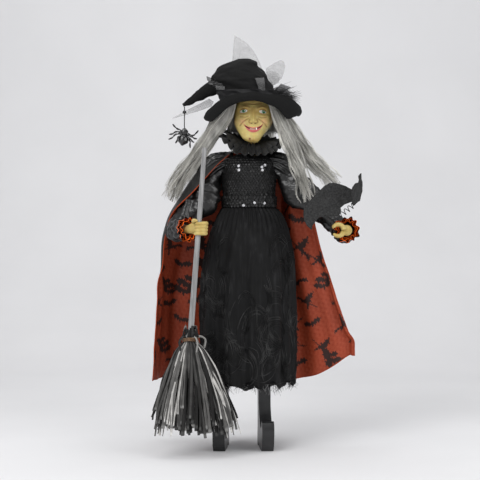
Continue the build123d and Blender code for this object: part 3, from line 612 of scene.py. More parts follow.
def make_ruff():
    """The pleated taffeta collar: two gathered layers, dipped at the front."""
    cloth = material("black_taffeta", (0.13, 0.13, 0.135), 0.5)
    grain = texture(cloth, "Noise", 180, place(cloth, (1, 1, 1)), Detail=6.0)
    tint(cloth, ramp(cloth, grain.outputs["Fac"], (0.3, 0.085), (0.7, 0.165)))
    relief(cloth, grain.outputs["Fac"], 0.5, 0.3)
    weave(cloth, 0.45, 0.25)
    for layer, (size, lift, pleats, seed) in enumerate(((1.0, 0.0, 27, 4), (0.84, 4.0, 24, 9))):
        rows, cols = 34, 640
        angle, t = np.meshgrid(around(cols), np.linspace(0, 1, rows))
        phase = pleats * angle + 1.2 * np.sin(3 * angle + seed) + 0.6 * np.sin(7 * angle)
        wave = 2 / math.pi * np.arcsin(0.97 * np.sin(phase))
        front, wings = ease(0.1, 1.0, np.cos(angle)), np.abs(np.sin(angle)) ** 3
        reach = (46 - 2.5 * front + 11 * wings) * size + 2.4 * waves(np.stack([angle * 45, 0 * t], -1), 40,
                                                                     seed)
        r = 13 + (reach - 13) * t
        # The collar dips at the front, and its sides and back stand up.
        foot = 474 - 3.0 * front + lift
        rim = 488 - 31 * front - 9 * np.sin(angle) * wings - 2 * wings + lift
        z = foot + (rim - foot) * t + 5 * np.sin(math.pi * t) * front + wave * (1.0 + 2.7 * t)
        turn = angle + 0.022 * t * np.cos(phase)
        shrink = 0.90
        points = np.stack([5 + r * np.sin(turn), -r * shrink * np.cos(turn), z], -1)
        ruff = piece(f"ruff_layer_{layer + 1}", points.reshape(-1, 3), grid(rows, cols, closed=True), [cloth],
                     "torso")
        thicken(ruff, 0.5)
        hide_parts("ruff")


# ---------------------------------------------------------------- cape
CAPE = ((463, 36, 40, 33, 2), (455, 56, 58, 38, 6), (443, 72, 74, 44, 14), (425, 85, 85, 50, 22),
        (390, 105, 97, 58, 24),
        (340, 126, 109, 66, 24), (280, 139.5, 125, 74, 20), (231, 147, 141, 79, 18), (180, 149, 159, 83, 17),
        (141, 152, 168, 86, 16), (96, 155, 170, 90, 15))


def cape_point(u, v):
    """A point on the cape. u is -1 at the right front edge and 1 at the left, v is 1 at the hem."""
    z = 463 - 367 * (0.35 * v * v + 0.65 * v)
    right, left, back, front = (table(z, *[(r[0], r[k]) for r in reversed(CAPE)]) for k in (1, 2, 3, 4))
    turn = u * math.pi / 2
    reach = np.where(u < 0, right, left) - 1.5
    x = reach * np.sign(np.sin(turn)) * np.abs(np.sin(turn)) ** 0.86
    # On the figure's left the front panel folds forward and hangs nearly flat.
    panel = ease(52, 68, x)
    flat = 0.95 * (1 - panel) + panel * 0.30 * np.clip((reach - x) / (reach - 60), 0, 1)
    share = np.abs(np.cos(turn)) ** 0.75
    share = share + (flat - share) * ease(432, 395, z) * (u > 0)
    y = front + (back - 1.5 - front) * share
    hang = ease(0.12, 0.75, v)
    folds = (5.0 * np.sin(13 * u + 0.7 + 0.6 * np.sin(3 * u)) + 2.4 * np.sin(29 * u + 1.3 + 1.2 * v)) * hang
    folds = folds * (1 - 0.85 * ease(0.80, 1.0, np.abs(u)))
    folds = folds + 1.6 * waves(np.stack([u * 150, z], -1), 120, 14) * hang
    y = y - folds * np.abs(np.cos(turn)) ** 0.4
    x = x - 0.55 * folds * np.sin(turn)
    shoulder = bump(z, 452, 14)
    z = z + 0.9 * np.sin(21 * u) * shoulder
    # On the right the front edge wraps over the shoulder and the upper arm.
    wrap = ease(-0.66, -1.0, u) * ease(225, 285, z)
    edge_x = table(z, (225, -142), (291, -136.5), (329, -132), (368, -118), (399, -87), (420, -68),
                   (443, -47), (463, -25))
    edge_y = table(z, (225, 18), (291, 12), (329, -1), (368, -20), (399, -29), (420, -30), (443, -27),
                   (463, -10))
    round_arm = np.sin(math.pi * wrap) * 11 * ease(463, 425, z) * (0.3 + 0.7 * ease(250, 335, z))
    x = x + (edge_x - x) * wrap**2 - round_arm
    y = y + (edge_y - y) * wrap
    hem = ease(0.80, 1.0, v)
    z = z + hem * (4.5 * ease(0.1, 0.3, np.abs(u)) + 40 * np.clip((x - 62) / 100, 0, 1) ** 1.6
                   + 2.5 * np.sin(9 * u + 1)
                   * ease(0.1, 0.6, np.cos(turn)))
    return np.stack([x, y, z], -1)


BAT_SHAPE = [(0, 4), (1.2, 7), (2, 4.2), (6, 8), (13, 10), (19, 6), (15.5, 3), (13, -1), (9.5, 1.5),
             (6, -2.5), (3, 0), (0, -6)]
BROOM_RIDER = [(-19, -3), (-13, -1.2), (-8, -0.5), (-4, 1), (-5, 6), (-3, 10), (-6, 11), (-2.5, 13), (1, 20),
               (2, 12.5), (6, 11.5),
               (2.6, 9.5), (3.4, 6), (7, 5), (8, 3.6), (4.6, 3), (5, 1), (9, 1.4), (20, 3), (20, 1.6),
               (9, -0.4), (6, -1.6),
               (8.5, -7), (11, -8.5), (6.4, -9), (3, -2.4), (-3, -3.2), (-9, -8), (-8, -3.6), (-13, -4.6),
               (-20, -9)]
STAR = [(0, 5), (1.2, 1.6), (4.8, 1.5), (1.9, -0.6), (2.9, -4), (0, -2), (-2.9, -4), (-1.9, -0.6),
        (-4.8, 1.5), (-1.2, 1.6)]


def inside(x, y, outline):
    """True where a point lies in a closed outline."""
    hit = np.zeros(np.shape(x), bool)
    for (x0, y0), (x1, y1) in zip(outline, outline[1:] + outline[:1]):
        if y0 != y1:
            hit ^= ((y0 > y) != (y1 > y)) & (x < (x1 - x0) * (y - y0) / (y1 - y0) + x0)
    return hit


def make_cape():
    """The cape: black satin, a rust lining printed with bats, broom riders and stars, and a piped edge."""
    satin = material("black_satin", (0.115, 0.115, 0.12), 0.4, Anisotropic=0.3)
    crease = texture(satin, "Noise", 26, place(satin, (2.2, 2.2, 0.7)), Detail=6.0, Distortion=0.6)
    tint(satin, ramp(satin, crease.outputs["Fac"], (0.3, 0.03), (0.55, 0.055), (0.75, 0.11)))
    roughen(satin, crease.outputs["Fac"], 0.34, 0.52)
    relief(satin, crease.outputs["Fac"], 0.5, 1.2)
    weave(satin, 0.35, 0.2)
    lining = painted("printed_lining", 0.55, 1400)
    crush = texture(lining, "Noise", 40, place(lining, (2.0, 2.0, 0.8)), Detail=6.0, Distortion=0.4)
    relief(lining, crush.outputs["Fac"], 0.5, 0.9)
    weave(lining, 0.5, 0.3)

    rows, cols = 290, 560
    u, v = np.meshgrid(np.linspace(-1, 1, cols), np.linspace(0, 1, rows))
    points = cape_point(u, v)
    # The cloth's own flat measure, for the print: across from the middle of the back, and down.
    across = np.cumsum(np.linalg.norm(np.diff(points, axis=1, prepend=points[:, :1]), axis=2), 1)
    across -= across[:, [cols // 2]]
    down = 463 - points[..., 2] + 0 * u
    ink = np.zeros(u.shape)
    rng = np.random.default_rng(27)
    half = [(-x, y) for x, y in reversed(BAT_SHAPE)]
    bat = BAT_SHAPE + half
    row = 0
    for y0 in np.arange(50, 376, 32):
        row += 1
        for x0 in np.arange(-312 + 19 * (row % 3), 312, 51):
            kind, size = rng.integers(0, 6), rng.uniform(0.85, 1.2)
            tilt_by, flip = rng.uniform(-0.6, 0.6), rng.choice((-1, 1))
            px, py = x0 + rng.uniform(-8, 8), y0 + rng.uniform(-6, 6)
            near = (np.abs(across - px) < 34) & (np.abs(down - py) < 30)
            dx, dy = (across[near] - px) / size * flip, (py - down[near]) / size
            dx, dy = dx + 0.8 * np.sin(dy * 1.7), dy + 0.8 * np.sin(dx * 1.5)
            x = dx * math.cos(tilt_by) + dy * math.sin(tilt_by)
            y = dy * math.cos(tilt_by) - dx * math.sin(tilt_by)
            if kind <= 1:
                hit = inside(x * 0.85, y * 0.85, BROOM_RIDER)
            elif kind == 2:
                hit = (inside(x * 0.95, y * 0.95, bat) | inside(x + 6, y + 9, bat)
                       | inside((x - 7) * 1.2, (y - 8) * 1.2, bat))
            elif kind <= 4:
                hit = inside(x * 1.25, y * 1.25, bat)
            else:
                hit = inside(x, y, STAR)
            ink[near] = np.maximum(ink[near], hit)
    fade = 0.5 + 0.5 * waves(np.stack([across, down], -1), 90, 40)
    fleck = 0.035 * waves(np.stack([across, down], -1), 7, 41)
    rust = np.stack([0.57 + 0.06 * fade + fleck, 0.235 + 0.03 * fade + fleck, 0.145 + 0.02 * fade + fleck],
                    -1)
    dark = np.array((0.15, 0.11, 0.105))
    colours = rust * (1 - 0.9 * ink[..., None]) + dark * 0.9 * ink[..., None]
    cape = piece("cape", points.reshape(-1, 3), grid(rows, cols), [satin, lining],
                 colours=colours.reshape(-1, 3), outward=False)
    thicken(cape, 1.0, offset=0.0, inner=1, rim=0)
    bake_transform(cape)
    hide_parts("cape")

    piping = mottled("orange_piping", (0.50, 0.18, 0.07), (0.66, 0.26, 0.10), 500, 0.6)
    edges = [cape_point(np.full(120, s * 1.0), np.linspace(0.02, 1, 120)) for s in (-1, 1)]
    hem = cape_point(np.linspace(-1, 1, 300), np.full(300, 1.0))
    swell = 0.45 + 0.5 * ease(0.12, 0.35, np.linspace(0.02, 1, 120))
    welt = join([tubes([edges[0]], [swell], 8), tubes([edges[1]], [swell], 8), tubes([hem], 0.9, 6)])
    obj = piece("cape_piping", *welt, [piping])
    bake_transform(obj)


# ---------------------------------------------------------------- head
HEAD = 6.5


def through(rings, rows):
    """Rings smoothly filled in between a few given ones, of shape (k, cols, 3), evenly by ring number."""
    rings = np.asarray(rings, float)
    slopes = np.gradient(rings, axis=0)
    t = np.linspace(0, len(rings) - 1, rows)
    k = np.clip(t.astype(int), 0, len(rings) - 2)
    t = (t - k)[:, None, None]
    return (rings[k] * (1 + 2 * t) * (1 - t) ** 2 + rings[k + 1] * t * t * (3 - 2 * t)
            + slopes[k] * t * (1 - t) ** 2 - slopes[k + 1] * t * t * (1 - t))


def bell(x, z, at, width, height=None, lean=0.0):
    """A smooth mound of height 1 over x and z, level with the x axis or leaning."""
    dx, dz = x - at[0], z - at[1]
    dx, dz = dx * math.cos(lean) + dz * math.sin(lean), dz * math.cos(lean) - dx * math.sin(lean)
    return np.exp(-((dx / width) ** 2) - (dz / (height or width)) ** 2)


def stroke(x, z, points, width):
    """How close a point is to a drawn line: 1 on it, falling off over width."""
    near = np.full(np.shape(x), 1e9)
    for (x0, z0), (x1, z1) in zip(points, points[1:]):
        t = np.clip(((x - x0) * (x1 - x0) + (z - z0) * (z1 - z0)) / ((x1 - x0) ** 2 + (z1 - z0) ** 2), 0, 1)
        near = np.minimum(near, (x - x0 - t * (x1 - x0)) ** 2 + (z - z0 - t * (z1 - z0)) ** 2)
    return np.exp(-near / width**2)


def face_height(x, z):
    """How far the face stands out from the plain head, in millimetres. x is from the middle of the face."""
    nose = 1.5 * bell(x, z, (0, 524), 3.2, 6) + 4.4 * bell(x, z, (0, 514.5), 3.3,
                                                           7) + 7.4 * bell(x, z, (0, 507.8), 4.3, 4.6)
    wings = 3.0 * (bell(x, z, (-5, 506.8), 2.3, 2.4) + bell(x, z, (5, 506.8), 2.3, 2.4))
    cheeks = 3.0 * (bell(x, z, (-17.5, 508), 6.5, 6.0) + bell(x, z, (17.5, 508), 6.5, 6.0))
    jowls = 1.5 * (bell(x, z, (-17, 498), 4, 5) + bell(x, z, (16, 498), 4, 5))
    brows = 2.1 * (bell(x, z, (-13, 530.5), 8, 2.8, -0.12) + bell(x, z, (13, 529.5), 8, 2.8, 0.12))
    sockets = -2.6 * (bell(x, z, (-14.6, 524), 7.5, 4.6) + bell(x, z, (14.1, 522.8), 7.5, 4.6))
    bags = 1.0 * (bell(x, z, (-14, 517.5), 6.5, 1.8) + bell(x, z, (14, 516.5), 6.5, 1.8))
    part = 495.4 + 7.0 * (x / 15.0) ** 2
    reach = ease(16.0, 12.5, np.abs(x))
    lips = reach * (1.9 * bump(z - part, 1.9, 1.5) * (0.55 + 0.45 * bump(x, 0, 8))
                    + 2.3 * bump(z - part, -2.5, 1.9)
                    * ease(12, 4, np.abs(x)) - 1.9 * bump(z - part, 0, 0.75))
    chin = 3.6 * bell(x, z, (0.4, 480.5), 6.0, 5.0) - 1.3 * bell(x, z, (0.3, 487.6), 8, 2.0)
    chin = chin - 0.7 * bell(x, z, (0.4, 479.5), 0.9, 3.2)
    folds = -1.5 * (stroke(x, z, [(-7.4, 512), (-11, 510.5), (-16.2, 507), (-20.5, 501.5)], 1.5)
                    + stroke(x, z, [(7.4, 511.5), (11, 509.5), (16.0, 505.5), (20.5, 500.5)], 1.5))
    wrinkles = -0.6 * (stroke(x, z, [(-14, 536), (0, 534.6), (13, 535.8)], 0.8)
                       + stroke(x, z, [(-1.6, 531), (-1.2, 526)], 0.7)
                       + stroke(x, z, [(1.8, 531), (1.3, 526)], 0.7)
                       + stroke(x, z, [(-20, 515.5), (-13, 514.2), (-8, 515.5)], 0.7)
                       + stroke(x, z, [(20, 514.5), (13, 513.2), (8, 514.5)], 0.7)
                       + stroke(x, z, [(-22, 521), (-25.5, 519)], 0.7)
                       + stroke(x, z, [(21.6, 520), (25, 518)], 0.7))
    spots = 1.3 * bell(x, z, (-5.6, 480.4), 1.3) + 0.9 * bell(x, z, (-15, 483),
                                                              1.4) + 0.6 * bell(x, z, (12, 486), 1.1)
    nostrils = -1.6 * (bell(x, z, (-2.6, 504.1), 1.2, 0.8) + bell(x, z, (2.6, 504.1), 1.2, 0.8))
    return (nose + wings + cheeks + jowls + brows + sockets + bags + lips + chin + folds + wrinkles + spots
            + nostrils
            + 0.25 * waves(np.stack([x, z], -1), 9, 33))


def head_point(theta, z):
    """A point on the head. theta is 0 at the front and grows to the figure's left."""
    a = table(z, (475.5, 4), (477.3, 8.8), (480, 12.2), (486, 16.6), (495.8, 23.6), (503, 28), (509, 30.3),
              (520, 30.6),
              (536, 29.5), (553, 24), (562, 16), (566, 8))
    front = table(z, (475.5, -30), (477.3, -33.5), (481, -36), (487, -36), (496, -36), (507, -35.3),
                  (520, -34),
                  (536, -31.5), (553, -24), (562, -12), (566, -4))
    back = table(z, (475.5, -22), (480, -12), (490, 6), (500, 22), (510, 29), (525, 34), (545, 33), (558, 24),
                 (566, 8))
    middle = table(z, (475.5, 0), (480, -2.0), (486, -2.4), (496, -1.0), (506, 0), (566, 0))
    seat = front + (back - front) * 0.52
    s, c = np.sin(theta), np.cos(theta)
    depth = np.where(c > 0, seat - front, back - seat)
    x = middle + a * np.sign(s) * np.abs(s) ** 0.92
    y = seat - depth * np.sign(c) * np.abs(c) ** np.where(c > 0, 0.80, 0.95)
    lift = face_height(x, z) * ease(0.15, 0.6, c)
    return x + 0.12 * lift * s, y - lift, z


def make_head():
    """The moulded head with its painted face, the eyes and the tooth."""
    s = np.linspace(-1, 1, 420, endpoint=False)
    theta = math.pi * s * (0.42 + 0.58 * s * s)
    theta, z = np.meshgrid(theta, np.linspace(475.5, 566, 190))
    x, y, z = head_point(theta, z)
    base = np.array((0.80, 0.725, 0.46))
    ochre, brown, pink = np.array((0.66, 0.50, 0.23)), np.array((0.40, 0.27,
                                                                 0.15)), np.array((0.80, 0.42, 0.44))
    red, dark = np.array((0.80, 0.40, 0.42)), np.array((0.20, 0.07, 0.07))

    def wash(colour, tone, amount):
        """The colour brushed over with another."""
        amount = np.clip(amount, 0, 1)[..., None]
        return colour * (1 - amount) + tone * amount

    colour = np.broadcast_to(base, (*x.shape, 3)) * (1 + 0.05 * waves(np.stack([x, z], -1), 22, 3)[..., None])
    hollow = (bell(x, z, (-14.6, 525.5), 10, 6.5) + bell(x, z, (14.1, 524.5), 10, 6.5)) * 0.62
    # The ochre band across the forehead, along the brim's edge, is painted shade under the brim.
    colour = wash(colour, ochre, hollow + 0.30 * bell(x, z, (0, 520), 5, 9) + 0.35 * bump(z, 540, 5))
    # Ochre deepening towards the sides of the face and under the chin is painted shade.
    colour = wash(colour, ochre, 0.55 * ease(22, 30, np.abs(x)) + 0.35 * ease(484, 476, z))
    lines = [[(-7.4, 512), (-11, 510.5), (-16.2, 507), (-20.5, 501.5)],
             [(7.4, 511.5), (11, 509.5), (16, 505.5), (20.5, 500.5)],
             [(-14, 536), (0, 534.6), (13, 535.8)], [(-20, 515.5), (-13, 514.2), (-8, 515.5)],
             [(20, 514.5), (13, 513.2), (8, 514.5)], [(-5.5, 510), (-7, 506.5), (-5, 504.4)],
             [(5.5, 510), (7, 506.5), (5, 504.4)]]
    for line in lines:
        colour = wash(colour, brown, 0.42 * stroke(x, z, line, 1.0))
    colour = wash(colour, brown, 0.55 * stroke(x, z, [(-22, 530.5), (-14, 532.2), (-6, 529.5)], 1.2) * 0.8)
    colour = wash(colour, brown, 0.55 * stroke(x, z, [(21.5, 529.5), (14, 531.2), (6, 528.5)], 1.2) * 0.8)
    colour = wash(colour, pink, 0.25 * (bell(x, z, (-17.5, 508), 6, 5) + bell(x, z, (17.5, 508), 6, 5)))
    part = 495.4 + 7.0 * (x / 15.0) ** 2
    peak = 3.0 - 0.8 * bump(x, 0, 1.6) - 0.12 * np.abs(x)
    upper = ease(15.6, 14.2, np.abs(x)) * ease(-0.2, 0.3, z - part) * ease(0.4, -0.4, z - part - peak)
    depth = 5.2 * np.sqrt(np.clip(1 - (x / 13.0) ** 2, 0, 1))
    lower = ease(14.5, 13, np.abs(x)) * ease(0.2, -0.3, z - part) * ease(-0.4, 0.4, z - part + depth)
    colour = wash(colour, red, 0.92 * np.maximum(upper, lower))
    colour = wash(colour, dark, 0.9 * ease(13.5, 12, np.abs(x)) * bump(z - part, 0, 0.75))
    colour = wash(colour, np.array((0.9, 0.88, 0.8)),
                  ease(1.0, 0.4, np.abs(z - part)) * ease(4.4, 3.6, np.abs(x + 1.5)))
    colour = wash(colour, np.array((0.36, 0.12, 0.14)), 0.9 * bell(x, z, (-5.6, 480.4), 1.25))
    colour = wash(colour, dark,
                  0.7 * (bell(x, z, (-2.6, 504.1), 1.2, 0.8) + bell(x, z, (2.6, 504.1), 1.2, 0.8)))
    skin = painted("painted_skin", 0.48, 1500, Subsurface_Weight=0.08, Subsurface_Scale=0.004,
                   Coat_Weight=0.12)
    pores = texture(skin, "Noise", 900, Detail=5.0)
    relief(skin, pores.outputs["Fac"], 0.25, 0.12)
    points, faces = body_of_rings(np.stack([x + HEAD, y, z], -1))
    ends = np.broadcast_to(base, (2, 3))
    head = piece("head", points, faces, [skin], "head", colours=np.concatenate([colour.reshape(-1, 3), ends]))
    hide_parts("face", "head_back")

    eye_paint = painted("painted_eye", 0.12, 900, Coat_Weight=0.8, Coat_Roughness=0.05)
    relief(eye_paint, texture(eye_paint, "Noise", 400).outputs["Fac"], 0.05, 0.05)
    for side, ex in ((-1, -14.8), (1, 14.2)):
        s, t = np.meshgrid(np.linspace(-1, 1, 90), np.linspace(-1, 1, 50))
        ez = 523.15 - 0.55 * side
        half = 3.1 * (1 - s**2) ** 0.6 + 0.02
        px = ex + 5.8 * s
        pz = ez + 0.10 * side * -5.3 * s + half * t + 0.35 * (1 - s * s)
        _, ground, _ = head_point(np.arcsin(np.clip(px / 30.6, -1, 1)), pz)
        py = ground + 0.5 - 1.9 * np.clip((1 - s * s) * (1 - 0.45 * t * t), 0, 1)
        ix, iz = px - (ex + (0.4 if side < 0 else 1.3)), pz - (ez + 0.3)
        r = np.hypot(ix, iz)
        tone = np.broadcast_to((0.93, 0.92, 0.87), (*s.shape, 3))
        # The white browns towards its rim and corners: painted shade where the lids meet the eye.
        tone = wash(tone, np.array((0.45, 0.30, 0.22)),
                    0.6 * ease(0.65, 1.0, np.abs(t)) + 0.5 * ease(0.8, 1, np.abs(s)))
        ring = wash(np.broadcast_to((0.30, 0.60, 0.40), (*s.shape, 3)), np.array((0.08, 0.20, 0.14)),
                    ease(1.9, 2.5, r))
        tone = wash(tone, ring, ease(2.75, 2.5, r))
        tone = wash(tone, np.array((0.02, 0.03, 0.03)), ease(1.3, 1.05, r))
        # The small white spot on each eye is a painted highlight.
        tone = wash(tone, np.array((1, 1, 1)), ease(0.75, 0.45, np.hypot(ix - 0.6, iz - 0.9)))
        dome = piece(f"eye_{'right' if side < 0 else 'left'}",
                     np.stack([px + HEAD, py, pz], -1).reshape(-1, 3), grid(50, 90),
                     [eye_paint], "head", colours=tone.reshape(-1, 3))
        thicken(dome, 0.8)
        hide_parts("eyes")
        edge = np.linspace(0, 1, 40)
        lids = []
        for row, rise in ((49, 0.45), (0, -0.25)):
            line = np.stack([px[row] + HEAD, py[row] - 0.35, pz[row] + rise], -1)
            lids.append(along(line[::4], 40))
        thickness = np.stack([0.35 + 0.85 * np.sin(edge * math.pi) ** 0.6,
                              0.25 + 0.45 * np.sin(edge * math.pi) ** 0.6])
        points, faces = tubes(np.array(lids), thickness, 8)
        shade = np.repeat(np.array([(0.62, 0.47, 0.22), (0.70, 0.55, 0.32)]), 40 * 8, 0)
        piece(f"eyelids_{'right' if side < 0 else 'left'}", points, faces, [skin], "head",
                      colours=shade)

    tooth_white = mottled("tooth_enamel", (0.86, 0.84, 0.76), (0.95, 0.94, 0.88), 600, 0.2)
    _, lip, _ = head_point(np.array(0.15), np.array(495.0))
    rows = []
    for t in np.linspace(0, 1, 12):
        turn = np.linspace(0, TAU, 20, endpoint=False)
        w, d = 1.35 * (1 - 0.25 * t) * math.sqrt(max(1 - (2 * t - 1) ** 6, 0.05)), 0.9
        rows.append(np.stack([HEAD + 4.6 + w * np.sign(np.cos(turn)) * np.abs(np.cos(turn)) ** 0.7,
                              lip - 0.6 + d * np.sin(turn),
                              497.6 - 4.2 * t + 0 * turn], -1))
    piece("tooth", *body_of_rings(np.array(rows)), [tooth_white], "head")


# ---------------------------------------------------------------- hair
def strands(name, guides, count, seed, radius=0.36, knots=48, ragged=0.32):
    """Fine strands along guides. A guide is a list of (x, y, z, half width, half depth)."""
    rng = np.random.default_rng(seed)
    paths, shades = [], []
    for number, guide in enumerate(guides):
        line = along(guide, knots)
        _, side, other = frames(line[:, :3])
        n = count[number] if isinstance(count, (list, tuple)) else count
        t = np.linspace(0, 1, knots)
        while n > 0:
            # A wisp: strands that keep together, curl together and end nearly together.
            rho, alpha = math.sqrt(rng.uniform(0.02, 1)), rng.uniform(0, TAU)
            end = 1 - rng.uniform(0, 1) ** 2 * ragged
            turns, start, sway = rng.uniform(14, 38), rng.uniform(0, TAU), rng.normal(0, 0.27, 2)
            tone, big = rng.normal(0, 0.05), rng.uniform(0.4, 1.9)
            for _ in range(min(n, int(rng.integers(4, 13)))):
                n -= 1
                u = rho * math.cos(alpha) + rng.normal(0, 0.07) + (sway[0] + rng.normal(0, 0.03)) * t**1.5
                v = rho * math.sin(alpha) + rng.normal(0, 0.09) + (sway[1] + rng.normal(0, 0.03)) * t**1.5
                curl = big * (0.3 + 1.2 * t**1.4) * np.sin(t * turns + start + rng.normal(0, 0.35))
                curl2 = 0.8 * big * (0.3 + 1.2 * t**1.4) * np.cos(t * turns * 0.83 + start
                                                                  + rng.normal(0, 0.35))
                path = (line[:, :3] + side * (u * line[:, 3] + curl)[:, None]
                        + other * (v * line[:, 4] + curl2)[:, None])
                paths.append(along(path, 90)[: int(90 * min(1, end * rng.uniform(0.96, 1.03)))])
                paths[-1] = along(paths[-1], knots)
                shades.append(tone + rng.normal(0.0, 0.03) + 0.02 * math.sin(alpha))
    n = len(paths)
    radii = radius * np.linspace(1.0, 0.55, knots) * rng.uniform(0.7, 1.25, size=(n, 1))
    points, faces = tubes(np.array(paths), radii, 3)
    tone = np.clip(0.77 + np.array(shades), 0.3, 0.95)
    dark = 0.08 * waves(points, 30, seed + 1)
    colours = np.repeat(tone, knots * 3)[:, None] * (1.0, 0.99, 0.955) + dark[:, None]
    return piece(name, points, faces, [M["hair"]], colours=colours)


def hank(name, guides, seed):
    """The grooved mass of hair that the strands lie on."""
    parts = []
    for guide in guides:
        line = along(guide, 70)
        line[:, 3:] *= 1 - 0.93 * ease(0.38, 0.80, np.linspace(0, 1, 70))[:, None] ** 0.8
        _, side, other = frames(line[:, :3])
        turn = np.linspace(0, TAU, 72, endpoint=False)
        groove = 1 + 0.05 * np.sin(17 * turn + 2 * np.sin(3 * turn)) + 0.035 * np.sin(31 * turn + 1)
        ring = line[:, None,
                    :3] + 0.90 * groove[:, None] * (np.cos(turn)[:, None] * side[:, None] * line[:, None, 3:4]
                                                            + np.sin(turn)[:, None] * other[:, None]
                                                            * line[:, None, 4:5])
        parts.append(body_of_rings(ring))
    points, faces = join(parts)
    # The mass is painted darker than the strands on it: painted shade in the gaps between them.
    shade = 0.57 + 0.10 * waves(points * (1, 1, 0.15), 7, seed)
    return piece(name, points, faces, [M["hair"]], colours=shade[:, None] * (1.0, 0.99, 0.955))


RIGHT_HAIR = [[(-25, -25, 540, 6, 4), (-33, -22, 523, 10, 5), (-45, -15, 506, 12.5, 7),
               (-61.5, -9, 484, 12, 7), (-86, -8, 447, 13, 8),
               (-107, -9, 420, 13, 7), (-124, -9, 386, 14, 5)],
              [(-34, -4, 540, 8, 8), (-44, 0, 522, 12, 9), (-55, 1, 500, 12, 8), (-68, 0, 472, 11.5, 8),
               (-96, -3, 436, 13, 7),
               (-116, -6, 398, 13, 5), (-121, -7, 384, 13, 4)]]
LEFT_HAIR = [[(36, -22, 539, 6, 4), (46, -20, 524, 9, 5), (60, -14, 503, 12, 7), (76, -9, 480, 12, 8),
              (95, -9, 452, 12, 8),
              (116, -10, 430, 12, 6), (138, -12, 408, 13, 4)],
             [(34, -25, 539, 5, 4), (42, -27, 523, 8, 5), (51, -31, 503, 10, 5), (60, -38, 480, 11, 6),
              (73, -43, 450, 11, 6),
              (84, -46, 418, 11, 5), (93, -48, 384, 11, 4)]]
BACK_HAIR = [[(6, 42, 548, 26, 8), (6, 52, 520, 30, 8), (6, 58, 490, 33, 8), (4, 66, 450, 38, 7),
              (2, 71, 415, 38, 6),
              (0, 75, 372, 32, 4)]]


def make_hair():
    """The wig: a cap of hair under the hat, and three hanks that fall from it onto the cape."""
    M["hair"] = painted("grey_doll_hair", 0.46, 1200, Specular_IOR_Level=0.35)
    for name, guides, count in (("hair_right", RIGHT_HAIR, (360, 240)), ("hair_left", LEFT_HAIR, (320, 290)),
                                ("hair_back", BACK_HAIR, 600)):
        fine = strands(name, guides, count, len(name) * 7)
        solid = hank(name + "_mass", guides, len(name))
        for obj in (fine, solid):
            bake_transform(obj)
        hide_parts(name)
    rows = [(496, 37.5, 12, 27), (506, 36.5, 9, 31), (520, 35.5, 6, 34), (534, 34.5, 5, 35), (550, 30, 5, 33),
            (562, 20, 5, 24),
            (567.5, 5, 5, 8)]
    rings = []
    turn = np.linspace(0, TAU, 160, endpoint=False)
    for z, a, y, b in rows:
        groove = 1 + 0.02 * np.sin(41 * turn) + 0.012 * np.sin(67 * turn + 1)
        # The wig leaves the face free: its front is drawn back behind the hairline.
        front = np.where(np.cos(turn) > 0, 0.30 + 0.35 * ease(530, 552, z), 1.0)
        rings.append(np.stack([HEAD + a * groove * np.sin(turn), y - b * groove * np.cos(turn) * front,
                               z + 0 * turn], -1))
    points, faces = body_of_rings(through(rings, 60))
    # The cap is painted darker than the strands over it: painted shade under them.
    shade = 0.46 + 0.10 * waves(points * (1, 1, 0.2), 7, 2)
    cap = piece("wig_cap", points, faces, [M["hair"]], "head", colours=shade[:, None] * (1.0, 0.99, 0.955))
    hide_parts("wig")
    rng = np.random.default_rng(77)
    paths = []
    for _ in range(700):
        theta = rng.uniform(1.02, TAU - 1.02)
        s, c = math.sin(theta), math.cos(theta)
        z = np.linspace(rng.uniform(548, 556), rng.uniform(493, 503), 24)
        a = table(z, *[(r[0], r[1]) for r in rows]) + rng.uniform(0.3, 2.2)
        b = table(z, *[(r[0], r[3]) for r in rows]) + rng.uniform(0.3, 2.2)
        y = table(z, *[(r[0], r[2]) for r in rows])
        front = 1.0 if c < 0 else 0.80
        flare = 2.5 * ease(520, 488, z)
        sway = 0.02 * np.sin(np.linspace(0, rng.uniform(3, 9), 24) + rng.uniform(0, TAU))
        paths.append(np.stack([HEAD + (a + flare) * (s + sway * c), y - (b + flare) * c * front, z], -1))
    points, faces = tubes(np.array(paths),
                          0.38 * rng.uniform(0.7, 1.2, size=(700, 1)) * np.linspace(1, 0.8, 24), 3)
    shade = np.repeat(np.clip(0.68 + rng.normal(0, 0.06, 700), 0, 1), 24 * 3) + 0.08 * waves(points, 30, 9)
    piece("wig_strands", points, faces, [M["hair"]], "head",
                  colours=shade[:, None] * (1.0, 0.99, 0.955))


# ---------------------------------------------------------------- hat
def arc(x):
    """How high the brim's underside is, as it droops to both sides."""
    dx = np.asarray(x, float) - 5
    bend = np.where(dx < 0, 125.3, 137.6)
    return 546 - bend + np.sqrt(np.maximum(bend**2 - dx**2, 0))


def tilt(points):
    """The hat's forward tilt."""
    c, s = math.cos(math.radians(6)), math.sin(math.radians(6))
    points = np.array(points, float)
    y, z = points[..., 1] - 2, points[..., 2] - 541
    points[..., 1], points[..., 2] = 2 + y * c - z * s, 541 + y * s + z * c
    return points


CROWN = ((530, 4, 45, 42), (549, 0, 45, 41), (566, -8, 45, 39), (583, -15, 42.5, 34), (597, -15, 31, 26),
         (605, -9, 19, 17),
         (609.5, -7, 8, 7))


